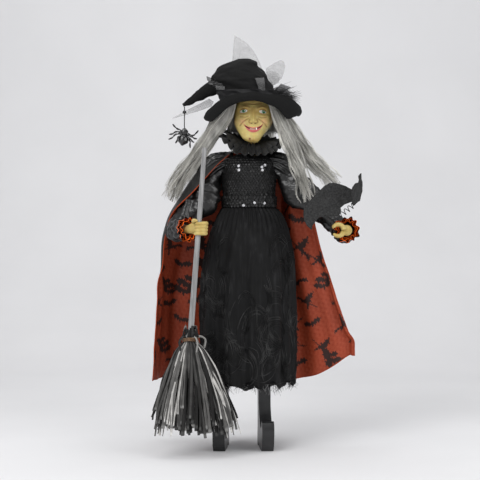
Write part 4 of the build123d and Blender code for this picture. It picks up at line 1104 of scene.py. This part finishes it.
def crown_point(turn, z, out=0.0):
    """A point on the slumped crown, before the tilt."""
    x, a, b = (table(z, *[(r[0], r[k]) for r in CROWN]) for k in (1, 2, 3))
    slump = ease(550, 566, z) * ease(609, 600, z)
    fold = 1.9 * np.sin(z / 3.6 + 2.0 * np.sin(turn + 0.6)
                        + 1.5 * np.sin(2 * turn)) * slump * (0.5 + 0.5 * np.sin(2 * turn + z / 20))
    fold = fold + 1.5 * waves(np.stack([40 * np.sin(turn), 40 * np.cos(turn), z * 1.6], -1), 34,
                              51) * ease(545, 560, z)
    pleat = 2.2 * bump(z, 577 + 4 * np.sin(turn), 3.0) * bump(np.sin(turn), -1, 0.9)
    r = out + fold + pleat
    return np.stack([x + (a + r) * np.sin(turn), 2 - (b + r) * np.cos(turn), z + 0 * turn], -1)


def make_hat():
    """The felt hat: brim, crown and hanging point, with its ribbon, nets and organza tuft."""
    felt = material("black_felt", (0.085, 0.085, 0.088), 0.9)
    fuzz = texture(felt, "Noise", 500, Detail=8.0)
    tint(felt, ramp(felt, fuzz.outputs["Fac"], (0.3, 0.05), (0.7, 0.095)))
    roughen(felt, fuzz.outputs["Fac"], 0.8, 0.98)
    relief(felt, fuzz.outputs["Fac"], 0.6, 0.35)
    turn = np.linspace(0, TAU, 300, endpoint=False)
    s, c = np.sin(turn), np.cos(turn)
    inner = np.stack([7 + 41 * s, 2 - 41 * c, arc(7 + 41 * s) + 2], -1)
    x, y = 6 + 76 * s, -66 * c
    back = ease(-8, 30, y)
    low = table(x, (-72, 514), (-63, 509), (-50, 517.5), (-37, 526.5), (0, 536.5), (30, 532), (52, 521),
                (61, 511.5), (72, 514.5),
                (84, 521))
    high = table(x, (-72, 517), (-65, 524), (-51, 535), (-9, 547.5), (33, 546), (64, 541), (76, 535),
                 (84, 529))
    droop = arc(x) + 0.10 * y + 2 * np.sin(3 * turn + 1)
    low, high = low + (droop - low) * back, high + (droop + 3 - high) * back
    inner = tilt(inner)
    mid = inner + (np.stack([x, y, low], -1) - inner) * np.array((0.62, 0.62, 0.45))
    fold = np.stack([6 + 71 * s, -62 * c, low + 0.6], -1)
    rim = np.stack([x, y, low + (high - low) * 0.5], -1)
    edge = np.stack([6 + 75 * s, -65.5 * c, high], -1)
    brim = through([inner, mid, fold, rim, edge], 44)
    rough = 0.9 * waves(brim, 26, 17)
    brim[..., 2] += rough * np.linspace(0, 1, 44)[:, None]
    obj = piece("hat_brim_felt", brim.reshape(-1, 3), grid(44, 300, closed=True), [felt], "head")
    thicken(obj, 2.6, 0.0)
    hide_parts("hat_brim")
    turn, z = np.meshgrid(np.linspace(0, TAU, 260, endpoint=False), np.linspace(540, 609.5, 110))
    crown = crown_point(turn, z)
    crown[..., 2] = np.maximum(crown[..., 2], arc(crown[..., 0]) + 0.5)
    points, faces = body_of_rings(tilt(crown))
    obj = piece("hat_crown_felt", points, faces, [felt], "head")
    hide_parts("hat_crown")

    path = [(-40, 0, 574), (-52, 2, 567), (-66, 4, 560), (-84, 4, 549), (-97, 4, 541), (-104.5, 4, 537)]
    rings, out, turn = limb_rings(path, [13, 12.5, 10.5, 7.0, 4.6, 2.6], 90, 72, 0.8)
    t = np.linspace(0, 1, 90)[:, None]
    rings = rings + out * (1.1 * np.sin(24 * t + 2 * np.sin(turn)) * ease(0.0, 0.2, t) * ease(1, 0.8, t)
                           * (0.4 + 0.6 * np.cos(turn - 1)))[..., None]
    rings = rings + out * (0.6 * waves(rings, 16, 61))[..., None]
    obj = piece("hat_point_felt", *body_of_rings(rings), [felt], "head")
    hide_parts("hat_point")

    ribbon = mottled("black_ribbon", (0.075, 0.075, 0.08), (0.12, 0.12, 0.125), 120, 0.5)
    weave(ribbon, 0.5, 0.4)
    turn, z = np.meshgrid(np.linspace(0, TAU, 300, endpoint=False), np.linspace(541, 561, 26))
    ripple = 0.7 * np.sin(9 * turn + z / 3) + 0.5 * np.sin(z / 1.6 + 3 * np.sin(2 * turn)) + 0.5 * waves(
        np.stack([40 * np.sin(turn), 40 * np.cos(turn), z * 2], -1), 18, 71)
    band = tilt(crown_point(turn, z, 2.6 + ripple))
    band[..., 2] = np.maximum(band[..., 2], arc(band[..., 0]) + 3.2 + 0.1 * band[..., 1])
    obj = piece("hat_ribbon", band.reshape(-1, 3), grid(26, 300, closed=True), [ribbon], "head")
    thicken(obj, 0.5)
    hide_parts("hat_band")

    organza = material("grey_organza", (0.42, 0.42, 0.43), 0.55, Alpha=0.62)
    mesh = texture(organza, "Wave", 420, bands_direction="Z")
    tint(organza, ramp(organza, mesh.outputs["Fac"], (0.3, 0.28), (0.7, 0.46)))
    net = material("grey_net", (0.68, 0.68, 0.69), 0.8, Alpha=0.36)
    holes = texture(net, "Voronoi", 900)
    tint(net, ramp(net, holes.outputs["Distance"], (0.2, 0.48), (0.6, 0.80)))
    dark_net = material("black_net", (0.14, 0.14, 0.145), 0.8, Alpha=0.5)
    grain = texture(dark_net, "Voronoi", 1100)
    tint(dark_net, ramp(dark_net, grain.outputs["Distance"], (0.2, 0.08), (0.6, 0.20)))

    def fan(name, corners, y0, material, lean, curl, rows=40, cols=30, seed=1):
        """A stiff piece of net between four corners: foot left, foot right, top right, top left."""
        a, b, c2, d = (np.array(p, float) for p in corners)
        s, t = np.meshgrid(np.linspace(0, 1, cols), np.linspace(0, 1, rows))
        s, t = s[..., None], t[..., None]
        flat = (a * (1 - s) + b * s) * (1 - t) + (d * (1 - s) + c2 * s) * t
        flat = flat + np.array((1.0, 0)) * (2.5 * np.sin(math.pi * t) * np.sin(math.pi * s))
        y = y0 + lean * t[..., 0] + curl * np.sin(math.pi * s[..., 0]) * (0.4 + t[..., 0]) + 1.2 * np.sin(
            7 * s[..., 0] + seed) * t[..., 0] + 0.8 * waves(flat, 20, seed)
        points = np.stack([flat[..., 0], y, flat[..., 1]], -1)
        obj = piece(name, points.reshape(-1, 3), grid(rows, cols), [material], "head")
        thicken(obj, 0.35)
        return obj

    def net_plate(name, outline, y0, bow, seed):
        """A stiff upright piece of net with that outline in x and z, bowed a little."""
        points, faces = plate(outline, 0.5, 2.4)
        low = min(p[1] for p in outline)
        points[:, 1] += y0 + bow * np.sin((points[:, 0] - outline[0][0])
                                          / 16) + 1.2 * waves(points[:, (0, 2)], 24, seed)
        points[:, 1] += 0.05 * (points[:, 2] - low)
        obj = piece(name, points, faces, [net], "head")
        return obj

    tall = net_plate("net_tall", [(-22, 578), (-27, 612), (-25, 636), (-23, 655.5), (-14, 650.5), (-3, 643),
                                  (5, 634), (11, 625),
                                  (17, 613), (21, 603), (27, 590), (30, 576)], 45, 2.0, 2)
    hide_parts("hat_tulle")
    net_plate("net_small", [(26, 580), (27, 594), (28, 602), (40, 610), (52, 615.5), (57, 612), (59, 606),
                            (57.5, 596), (53, 585),
                            (44, 577), (34, 571)], 47, -2.0, 5)
    net_plate("net_small_front", [(28, 578), (30, 598), (44, 596), (52, 588), (48, 578), (36, 572)], 44, 2.0,
              8)
    net_plate("net_low", [(-56, 544), (-63, 549), (-76, 542), (-98, 531), (-121, 518.5), (-122, 517),
                          (-99, 523), (-76, 530),
                          (-60, 536)], 15, 1.5, 11)
    fan("organza_fold", [(9, 574), (16, 553), (25, 555.5), (23, 575)], -38.5, organza, 0.5, -1.2, 24, 20, 14)
    rng = np.random.default_rng(19)
    for k in range(4):
        a = (-44 + 2 * k, 570 - 2.5 * k)
        tip = (-66 + 4 * k + rng.uniform(-2, 2), 577 - 5 * k + rng.uniform(-2, 2))
        fan(f"organza_tuft_{k + 1}",
            [a, (a[0] + 1, a[1] - 6), (tip[0] + 1, tip[1] - 6 + rng.uniform(-2, 2)), tip],
            -24 - 2.2 * k, organza if k % 2 else dark_net, -2, 1.4, 20, 16, 30 + k)
    for k in range(5):
        x0, z0 = 36 + 5.0 * k, 557 - 3.0 * k
        fan(f"net_frill_{k + 1}", [(x0 - 4, z0 - 8), (x0 + 5, z0 - 11), (x0 + 30 - 3 * k, z0 + 6 - 4 * k),
                                   (x0 + 14, z0 + 12 - 3 * k)],
            -16 + 9 * k, dark_net, 3 - k, 2.0, 22, 18, 50 + k)
    # The frill's frayed threads.
    frayed = []
    for k in range(170):
        x0, y0 = rng.uniform(34, 60), rng.uniform(-34, 20)
        z0 = 563 - 0.55 * (x0 - 34) + rng.uniform(-8, 0)
        way = np.array((rng.uniform(10, 26), rng.uniform(-6, 6), rng.uniform(-9, 11)))
        t = np.linspace(0, 1, 9)[:, None]
        frayed.append(np.array((x0, y0, z0)) + t * way + np.sin(t * 4 + k) * (0.5, 1.2, 0.8))
    points, faces = tubes(frayed, np.linspace(0.38, 0.14, 9), 3)
    points[:, 0] = np.minimum(points[:, 0], 86)
    piece("hat_frayed_threads", points, faces, [ribbon], "head")


# ---------------------------------------------------------------- spider and bat
def make_spider():
    """The glossy moulded spider."""
    shell = mottled("glossy_black", (0.035, 0.035, 0.04), (0.06, 0.06, 0.065), 300, 0.22, Coat_Weight=0.6)
    x, y, z = -102.0, 4.0, 500.6
    parts = []
    for points, radii, flat in (([(x, y, z + 0.2), (x, y, z - 4), (x, y, z - 9), (x, y, z - 12)],
                                 [1.5, 5.6, 5.2, 2.5], 0.9),
                                ([(x, y, z - 9), (x - 1, y, z - 15), (x - 3, y, z - 23),
                                  (x - 4, y, z - 27.5)],
                                 [3.2, 7.8, 6.8, 1.2], 0.9)):
        rings, out, turn = limb_rings(points, radii, 46, 40, flat)
        t = np.linspace(0, 1, 46)[:, None]
        rings = rings + out * (0.28 * np.sin(20 * t) * np.cos(2 * turn) + 0.2 * waves(rings, 5, 4))[..., None]
        parts.append(body_of_rings(rings))
    body = piece("spider_shell", *join(parts), [shell], "spider")
    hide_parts("spider_body")
    paths, radii = [], []
    for side, knee, foot in ((-1, (-10, 5), (-19, 13)), (-1, (-13, 0), (-24, -4)),
                             (-1, (-13, -4), (-25, -12)),
                             (-1, (-9, -8), (-14, -18)), (1, (13, -5), (22, 3)), (1, (12, -8), (20, -11)),
                             (1, (10, -11), (15, -16)), (1, (8, -13), (9, -25))):
        dy = 3 if abs(knee[1]) % 2 else -3
        line = [(x + side * 3, y + dy * 0.5, z - 7), (x + knee[0] * 0.8, y + dy * 1.8, z - 6 + knee[1] * 0.9),
                (x + knee[0], y + dy * 2, z - 6 + knee[1]),
                (x + (knee[0] + foot[0]) / 2, y + dy * 1.5, z - 6 + (knee[1] + foot[1]) / 2 - 1),
                (x + foot[0], y + dy, z - 6 + foot[1])]
        paths.append(along(line, 40))
        t = np.linspace(0, 1, 40)
        radii.append(1.0 + 0.75 * np.abs(np.sin(3 * math.pi * t)) ** 0.8 - 0.35 * t)
    legs = piece("spider_leg_set", *tubes(paths, np.array(radii), 9), [shell], "spider")
    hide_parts("spider_legs")


def plate(outline, thickness, step):
    """A closed flat plate of cloth over an outline in x and z about y = 0, with inner points for bending."""
    outline = [np.array(p, float) for p in outline]
    edge = []
    for p, q in zip(outline, outline[1:] + outline[:1]):
        n = max(1, int(np.linalg.norm(q - p) / step))
        edge += [p + (q - p) * k / n for k in range(n)]
    count = len(edge)
    low, high = np.min(edge, 0), np.max(edge, 0)
    xs, zs = np.meshgrid(np.arange(low[0], high[0], step), np.arange(low[1], high[1], step))
    keep = inside(xs, zs, [tuple(p) for p in outline])
    inner = [p for p in np.stack([xs[keep], zs[keep]], -1)
             if min(np.hypot(*(p - e)) for e in edge) > step * 0.55]
    points, _, faces, *_ = delaunay_2d_cdt([Vector(p) for p in edge + inner], [], [list(range(count))], 1,
                                           1e-4)
    flat = np.array([tuple(p) for p in points])
    n = len(flat)
    t = thickness / 2
    rim = inside_distance(flat, edge)
    swell = t * np.sqrt(np.clip(rim / (1.2 * t), 0.12, 1))
    front = np.stack([flat[:, 0], -swell, flat[:, 1]], -1)
    back = np.stack([flat[:, 0], swell, flat[:, 1]], -1)
    sides = {}
    for f in faces:
        for a, b in zip(f, list(f[1:]) + [f[0]]):
            sides[(a, b)] = True
    walls = [[a, b, b + n, a + n] for a, b in sides if (b, a) not in sides]
    return np.concatenate([front, back]), [list(f) for f in faces] + [[v + n for v in reversed(f)]
                                                                      for f in faces] + walls


def inside_distance(points, edge):
    """How far each point is from the nearest point of an outline."""
    edge = np.array(edge)
    return np.min(np.hypot(points[:, None, 0] - edge[None, :, 0], points[:, None, 1] - edge[None, :, 1]), 1)


def make_bat():
    """The felt bat on its coil spring, held by the left hand."""
    felt = material("charcoal_felt", (0.19, 0.19, 0.195), 0.95)
    fuzz = texture(felt, "Noise", 420, Detail=8.0)
    tint(felt, ramp(felt, fuzz.outputs["Fac"], (0.3, 0.13), (0.7, 0.24)))
    roughen(felt, fuzz.outputs["Fac"], 0.85, 1.0)
    relief(felt, fuzz.outputs["Fac"], 0.7, 0.4)
    x, y, z = 159.0, -95.0, 385.0
    points = [(x - 4, y, z - 8.5), (x - 2, y, z - 3), (x, y, z + 2), (x + 2, y, z + 7), (x + 2.6, y, z + 11),
              (x + 3.2, y, z + 14)]
    rings, out, _ = limb_rings(points, [2.2, 4.6, 5.0, 3.5, 4.4, 2.0], 50, 40, 0.85)
    parts = [body_of_rings(rings + out * (0.35 * waves(rings, 4, 6))[..., None])]
    for dx in (-1.5, 5.5):
        rings, _, _ = limb_rings([(x + dx, y, z + 12), (x + dx * 1.15, y, z + 17.5)], [1.7, 0.3], 10, 16)
        parts.append(body_of_rings(rings))
    obj = piece("bat_felt_body", *join(parts), [felt], "bat")
    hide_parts("bat_body")
    near = [(0, 9), (-5, 14), (-15, 19.5), (-25, 23), (-33, 24.5), (-40, 24), (-47, 20), (-56, 11.5),
            (-67, 0), (-74, -9), (-78, -15),
            (-78.5, -24), (-77, -32), (-73, -40), (-66, -46), (-64.5, -39), (-59, -32), (-55, -27.5),
            (-50, -26), (-42, -26.5),
            (-35, -25), (-29, -25.5), (-24, -23), (-22, -17), (-23, -13), (-17, -8), (-6, -4), (0, -3)]
    far = [(2, -2), (-2, 12), (-14, 24), (-34, 34), (-40, 28), (-33, 24), (-30, 20), (-38, 17), (-44, 10),
           (-42, 3), (-38, -2),
           (-31, -5), (-24, -10), (-18, -10.5), (-12, -14)]
    points, faces = plate(near, 1.8, 2.2)
    points[:, 1] += (2.0 * ease(0, -80, points[:, 0]) * np.sin(points[:, 0] / 16)
                     + 1.3 * waves(points[:, (0, 2)], 40, 3))
    wing = piece("bat_wing_near", points + (x, y, z), faces, [felt], "bat")
    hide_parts("bat_wings")
    points, faces = plate(far, 1.8, 2.2)
    flat = np.stack([points[:, 1], points[:, 0], points[:, 2]], -1)
    flat[:, 0] += 1.2 * waves(points[:, (0, 2)], 34, 5)
    b, c = math.radians(22), math.radians(-26)
    turned = flat @ np.array([[math.cos(c), math.sin(c), 0], [-math.sin(c), math.cos(c), 0], [0, 0, 1]])
    turned = turned @ np.array([[math.cos(b), 0, -math.sin(b)], [0, 1, 0], [math.sin(b), 0, math.cos(b)]])
    piece("bat_wing_far", turned + (x + 5, y - 3, z), faces, [felt], "bat")
    foot, top = np.array((128.5, -81.0, 353.5)), np.array((156.5, -92.0, 377.0))
    ahead = (top - foot) / np.linalg.norm(top - foot)
    side = np.cross(ahead, (0, 1, 0))
    side /= np.linalg.norm(side)
    other = np.cross(side, ahead)
    t = np.linspace(0, 1, 260)
    length = np.linalg.norm(top - foot)
    turns = TAU * (length - 2.5) / 7.0 * t
    reach = 4.0 * ease(0, 0.04, t) * ease(1.0, 0.97, t)
    coil = (foot + ahead * (1.0 + (length - 1.5) * t)[:, None]
            + side * (reach * np.cos(turns))[:, None] + other * (reach * np.sin(turns))[:, None])
    wire = mottled("blackened_spring_wire", (0.16, 0.16, 0.165), (0.26, 0.26, 0.27), 900, 0.35, Metallic=0.9)
    obj = piece("bat_coil", *tubes([coil], 0.6, 8), [wire], "bat")
    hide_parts("bat_spring")


# ---------------------------------------------------------------- arms
ELBOW = {"left": (147.0, -8.0, 337.0), "right": (-114.0, -22.0, 340.0)}
WRIST = {"left": (150.0, -54.0, 340.0), "right": (-97.0, -64.0, 340.0)}
FIST = {"left": (146.0, -79.0, 338.5), "right": (-75.0, -95.5, 342.0)}


def between(a, b, t):
    """The point that share of the way from a to b."""
    return tuple(np.array(a) + (np.array(b) - np.array(a)) * t)


def make_arm(side):
    """One sleeve with its striped frill, and the hand."""
    sign = 1 if side == "left" else -1
    elbow, wrist, fist = ELBOW[side], WRIST[side], FIST[side]
    top = (sign * 57, 0, 430)
    middle = between(top, elbow, 0.5)
    path = [top, between(top, elbow, 0.22), middle, between(top, elbow, 0.78), elbow,
            between(elbow, wrist, 0.5), wrist]
    radii = [17, 20, 18, 15.5, 15.5, 16.5, 14] if side == "left" else [15, 17, 15.5, 15, 15.5, 16.5, 14]
    rings, out, turn = limb_rings(path, radii, 210, 120, 1.0,
                                  (0.05, 1, 0.02) if side == "left" else (0, 1, 0.05))
    t = np.linspace(0, 1, 210)[:, None]
    across_folds = 1.1 * np.sin(58 * t + 1.6 * np.sin(turn + 1)
                                + 1.2 * np.sin(2 * turn + 9 * t)) * (0.5 + 0.5 * np.sin(turn + 11 * t))
    bend = 1.6 * bump(t, 0.74, 0.10) * np.sin(150 * t + np.sin(2 * turn))
    long_folds = 1.3 * np.sin(7 * turn + 5 * t) * ease(0.55, 0.95, t) + 0.8 * waves(rings, 18, 23 + sign)
    inward = np.clip(-sign * out[..., 0] * 0.85 - out[..., 2] * 0.5, 0, 1) ** 1.3
    pouch = (19 * bump(t, 0.30, 0.20) if side == "right" else 12 * bump(t, 0.20, 0.14)) * inward
    drape = 2.4 * np.sin(5 * turn + 3.5 * np.sin(7 * t)) * bump(t, 0.32, 0.24)
    rings = rings + out * (across_folds + bend * (0.5 - 0.5 * out[..., 2]) + long_folds + pouch
                           + drape)[..., None]
    cloth = M["shiny_satin"]
    obj = piece(f"sleeve_{side}_cloth", *body_of_rings(rings), [cloth], f"arm_{side}")
    rings, out, turn = limb_rings([(sign * 24, 0, 447), (sign * 42, 0, 445), (sign * 58, -1, 436),
                                   (sign * 71, -2, 421)],
                                  [13, 17.5, 20, 15], 60, 120)
    gathers = 1.2 * np.sin(15 * turn + np.sin(4 * turn)) + 0.9 * waves(rings, 14, 3)
    puff = piece(f"shoulder_{side}_cloth", *body_of_rings(rings + out * gathers[..., None]), [cloth], "torso")
    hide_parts(f"sleeve_{side}")

    ahead = np.array(fist) - np.array(wrist)
    ahead /= np.linalg.norm(ahead)
    side_way = np.cross(ahead, (0, 0, 1))
    side_way /= np.linalg.norm(side_way)
    up = np.cross(side_way, ahead)
    for layer, (reach, start, deep, pleats) in enumerate(((18.5, -9.0, 17, 11), (14.5, -5.0, 17, 9))):
        turn, t = np.meshgrid(np.linspace(0, TAU, 300, endpoint=False), np.linspace(0, 1, 26))
        wave = np.sin(pleats * turn + 0.8 * np.sin(3 * turn))
        r = 8.5 + (reach - 8.5) * t**0.7 + 1.9 * wave * t + 1.1 * np.sin(4 * turn + layer) * t
        d = start + deep * t + 1.2 * np.cos(pleats * turn) * t
        points = (np.array(wrist) + ahead * d[..., None] + side_way * (r * np.cos(turn))[..., None]
                  + up * (r * np.sin(turn))[..., None])
        stripe = ease(-0.2, 0.2, 0.15 + np.sin(TAU * 2.0 * t + 0.7 * np.sin(3 * turn) + layer * 1.5))
        colours = (np.array((1.0, 0.43, 0.12)) * stripe[..., None]
                   + np.array((0.05, 0.04, 0.04)) * (1 - stripe[..., None]))
        obj = piece(f"cuff_{side}_{layer + 1}", points.reshape(-1, 3), grid(26, 300, closed=True),
                    [M["cuff"]], f"arm_{side}",
                    colours=colours.reshape(-1, 3))
        thicken(obj, 0.5)
        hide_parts(f"cuff_{side}")

    parts = []

    def digit(points, radii, sides=14):
        """A tapering finger with a rounded tip."""
        line = along(np.column_stack([points, radii]), 26)
        parts.append(tubes([line[:, :3]],
                           [line[:, 3] * np.sqrt(np.clip(1 - np.linspace(0.0, 1.0, 26) ** 14, 0.08, 1))],
                           sides))

    if side == "right":
        hx = lambda z: -88.5 + 21.5 * (z - 176) / 285.5
        digit([between(wrist, fist, 0.0), between(wrist, fist, 0.4), (-84.5, -83, 341.5), (-76, -87, 342),
               (-68, -89.5, 342)],
              [6.4, 7.0, 8.4, 8.6, 6.8], 20)
        for k in range(4):
            z = 334.2 + 4.9 * k
            a = np.radians(np.linspace(78, -158 - 5 * (3 - k), 9))
            digit([(hx(z) + 2.6 + 8.6 * math.cos(v), -96.8 + 7.8 * math.sin(v), z - 0.8 * i / 8) for i,
                   v in enumerate(a)],
                  [3.5, 3.3, 3.2, 2.9, 3.0, 2.8, 2.6, 2.4, 2.0])
        digit([(-80, -86, 347.5), (-83.5, -90, 351.5), (-82.5, -96.5, 353), (-77.5, -101.6, 352)],
              [4.4, 3.6, 3.1, 2.4])
    else:
        digit([between(wrist, fist, 0.0), between(wrist, fist, 0.4), (147.0, -76, 338.5),
               (144.5, -85, 338.5)],
              [6.0, 6.6, 8.3, 7.2], 20)
        for k in range(4):
            a = np.radians(np.linspace(8, 168 - 7 * abs(k - 1.5), 8))
            y = -74.5 - 4.7 * k
            digit([(133.5 + 8.6 * math.cos(v), y, 338.5 + 8.6 * math.sin(v) + 0.8 * math.sin(k)) for v in a],
                  [3.7, 3.3, 3.2, 2.9, 3.0, 2.8, 2.5, 2.1])
        a = np.radians(np.linspace(-18, -148, 6))
        digit([(133.5 + 8.4 * math.cos(v), -80.5 - 1.5 * i / 5, 338.5 + 8.4 * math.sin(v)) for i,
               v in enumerate(a)],
              [4.2, 3.8, 3.3, 3.1, 2.8, 2.2])
    obj = piece(f"hand_{side}_moulded", *join(parts), [M["skin"]], f"arm_{side}")
    remesh = obj.modifiers.new("skin", "REMESH")
    remesh.mode, remesh.voxel_size, remesh.use_smooth_shade = "VOXEL", 0.00042, True
    smooth = obj.modifiers.new("smooth", "SMOOTH")
    smooth.factor, smooth.iterations = 0.6, 5
    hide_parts(f"hand_{side}")


# ---------------------------------------------------------------- broom
def make_broom():
    """The bundle of cut felt and woven strips, its loops and its wire tie."""
    M["bristle"] = painted("broom_strips", 0.85, 900)
    weave(M["bristle"], 1.3, 0.8)
    rng = np.random.default_rng(5)
    x0, y0, z0 = -88.5, -97.0, 176.0
    paths, facing, widths, shades = [], [], [], []
    for k in range(330):
        rho, alpha = math.sqrt(rng.uniform(0.05, 1)), rng.uniform(0, TAU)
        foot = (rng.uniform(28, 50) + 34 * rng.uniform() ** 2.2 + 16 * (1 - rho) * rng.uniform(0, 1)
                + 14 * max(0, abs(math.cos(alpha)) * rho - 0.75))
        z = np.linspace(z0 + 2, foot, 40)
        drop = (z0 - z) / (z0 - 28)
        a = table(drop, (-0.02, 6.5), (0.0, 7.5), (0.10, 21), (0.22, 31), (0.45, 47), (0.65, 59), (1.0, 73))
        b = table(drop, (-0.02, 6.0), (0.0, 7), (0.12, 12), (0.25, 15), (0.6, 21.5), (1.0, 25.5))
        cx = x0 + 8 * np.clip(drop, 0, 1)
        twist = rng.uniform(-0.25, 0.25) * drop
        wob = rng.uniform(0.5, 2.6) * np.sin(drop * rng.uniform(5, 14)
                                             + rng.uniform(0, TAU)) * ease(0, 0.3, drop)
        paths.append(np.stack([cx + (a * rho + wob) * np.cos(alpha + twist),
                               y0 + (b * rho + 0.5 * wob) * np.sin(alpha + twist), z], -1))
        facing.append([[math.cos(alpha) * 0.5 + rng.normal(0, 0.25), math.sin(alpha) + rng.normal(0, 0.25),
                        0.05]])
        tone = rng.choice((0.13, 0.17, 0.27, 0.38, 0.74), p=(0.24, 0.18, 0.17, 0.15, 0.26))
        widths.append((rng.uniform(2.2, 3.9) if tone > 0.7 else rng.uniform(2.8, 5.4))
                      * table(drop, (-0.02, 0.35), (0.06, 0.55), (0.25, 0.95), (1, 1)))
        shades.append(tone)
    points, faces = strips(np.array(paths), np.array(widths), 0.9, np.array(facing))
    colours = np.repeat(shades, 160)[:, None] * (1.0, 0.99, 0.97) * (1 + 0.12 * waves(points, 12, 2)[:, None])
    colours.reshape(len(paths), 40, 4, 3)[:, -2:] += 0.16
    bundle = piece("broom_strips", points, faces, [M["bristle"]], "broom", colours=colours)
    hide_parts("broom_bristles")

    paths, facing, widths, shades = [], [], [], []
    for k in range(46):
        alpha = rng.uniform(0, TAU)
        big = k < 10
        if big:
            reach, rise = rng.uniform(14, 25), rng.uniform(-12, 3)
        else:
            reach, rise = rng.uniform(8.5, 13.5), rng.uniform(10, 20)
        out = np.array((math.cos(alpha) * (1 if big else 0.95), 0.62 * math.sin(alpha), 0))
        line = [np.array((x0, y0, z0 - 3)) + out * 7.5,
                np.array((x0 + 0.4, y0, z0 + 0.45 * rise)) + out * reach,
                np.array((x0 + 1, y0, z0 + rise)) + out * (reach * 0.75),
                np.array((x0 + 1, y0, z0 + 0.65 * rise + 1)) + out * 8.0,
                np.array((x0, y0, z0 - 2)) + out * 6.6]
        if big:
            line = [np.array((x0, y0, z0 + 1)) + out * 7.5, np.array((x0, y0, z0 + 4)) + out * reach * 0.6,
                    np.array((x0, y0, z0 + rise)) + out * reach,
                    np.array((x0, y0, z0 - 12)) + out * reach * 0.95,
                    np.array((x0, y0, z0 - 20)) + out * 19]
        paths.append(along(line, 40))
        facing.append([[math.cos(alpha + 0.4), math.sin(alpha + 0.4), 0.3]])
        widths.append(np.full(40, rng.uniform(2.6, 4.6)))
        shades.append(rng.choice((0.13, 0.2, 0.34, 0.6), p=(0.4, 0.25, 0.15, 0.2)))
    points, faces = strips(np.array(paths), np.array(widths), 0.9, np.array(facing))
    colours = np.repeat(shades, 160)[:, None] * (1.0, 0.99, 0.97)
    piece("broom_loops", points, faces, [M["bristle"]], "broom", colours=colours)

    cord = mottled("brown_wire", (0.30, 0.22, 0.16), (0.46, 0.36, 0.27), 300, 0.5)
    t = np.linspace(0, 1, 300)
    turn = TAU * 4.4 * t
    wound = np.stack([x0 + 11.6 * np.cos(turn), y0 + 10.6 * np.sin(turn),
                      z0 - 2.6 + 5.2 * t + 0.5 * np.sin(3 * turn)], -1)
    obj = piece("broom_wound_tie", *tubes([wound], 0.95, 8, (0.02, 0.01, 1)), [cord], "broom")
    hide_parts("broom_tie")


# ---------------------------------------------------------------- the CAD nodes that stay in sight
SURFACES = {
    "boot_left": "boot", "boot_right": "boot", "leg_tubes": "steel", "arm_rod_left": "steel",
    "arm_rod_right": "steel",
    "neck_shaft": "steel", "torso_screws": "steel", "hip_block": "moulding", "torso_front": "moulding",
    "torso_back": "moulding",
    "mechanism_plate": "moulding", "gearmotor": "steel", "speaker": "moulding", "battery_box": "moulding",
    "battery_cover": "moulding", "switch_body": "moulding", "switch_slider": "white",
    "shoulder_bushes": "white",
    "motor_pinion": "white", "head_gear": "white", "neck_bush": "white", "neck_column": "skin",
    "circuit_board": "board",
    "batteries": "cell", "battery_contacts": "brass", "cord_bead": "bead", "broom_handle": "handle",
}


def finish_nodes():
    """Gives each CAD node that is still shown its material."""
    M["bead"] = mottled("black_bead", (0.04, 0.04, 0.045), (0.07, 0.07, 0.075), 600, 0.2, Coat_Weight=0.5)
    handle = M["handle"] = material("silver_grey_handle", (0.56, 0.56, 0.56), 0.42, Coat_Weight=0.15)
    streak = texture(handle, "Noise", 160, place(handle, (3, 3, 0.12)), Detail=5.0)
    tint(handle, ramp(handle, streak.outputs["Fac"], (0.35, 0.47), (0.65, 0.63)))
    roughen(handle, streak.outputs["Fac"], 0.36, 0.5)
    relief(handle, streak.outputs["Fac"], 0.2, 0.15)
    for name, finish in SURFACES.items():
        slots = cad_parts[name].data.materials
        slots.clear()
        slots.append(M[finish])


def cloth_materials():
    """Materials that several makers share."""
    shiny = M["shiny_satin"] = material("shiny_satin", (0.05, 0.05, 0.053), 0.3, Specular_IOR_Level=0.6)
    crush = texture(shiny, "Noise", 55, place(shiny, (1.0, 1.0, 1.5)), Detail=3.0, Distortion=1.2)
    tint(shiny, ramp(shiny, crush.outputs["Fac"], (0.35, 0.018), (0.7, 0.065)))
    roughen(shiny, crush.outputs["Fac"], 0.26, 0.38)
    relief(shiny, crush.outputs["Fac"], 0.8, 2.2)
    M["cuff"] = painted("striped_frill", 0.42, 900)
    weave(M["cuff"], 0.5, 0.3)
    M["skin"] = mottled("moulded_skin", (0.70, 0.60, 0.34), (0.78, 0.70, 0.45), 120, 0.5,
                        Subsurface_Weight=0.06,
                        Subsurface_Scale=0.003)


make_materials()
cloth_materials()
stage()
make_skirt()
make_bodice()
make_ruff()
make_cape()
make_head()
make_hair()
make_hat()
thread()
make_spider()
make_bat()
make_arm("left")
make_arm("right")
make_broom()
finish_nodes()
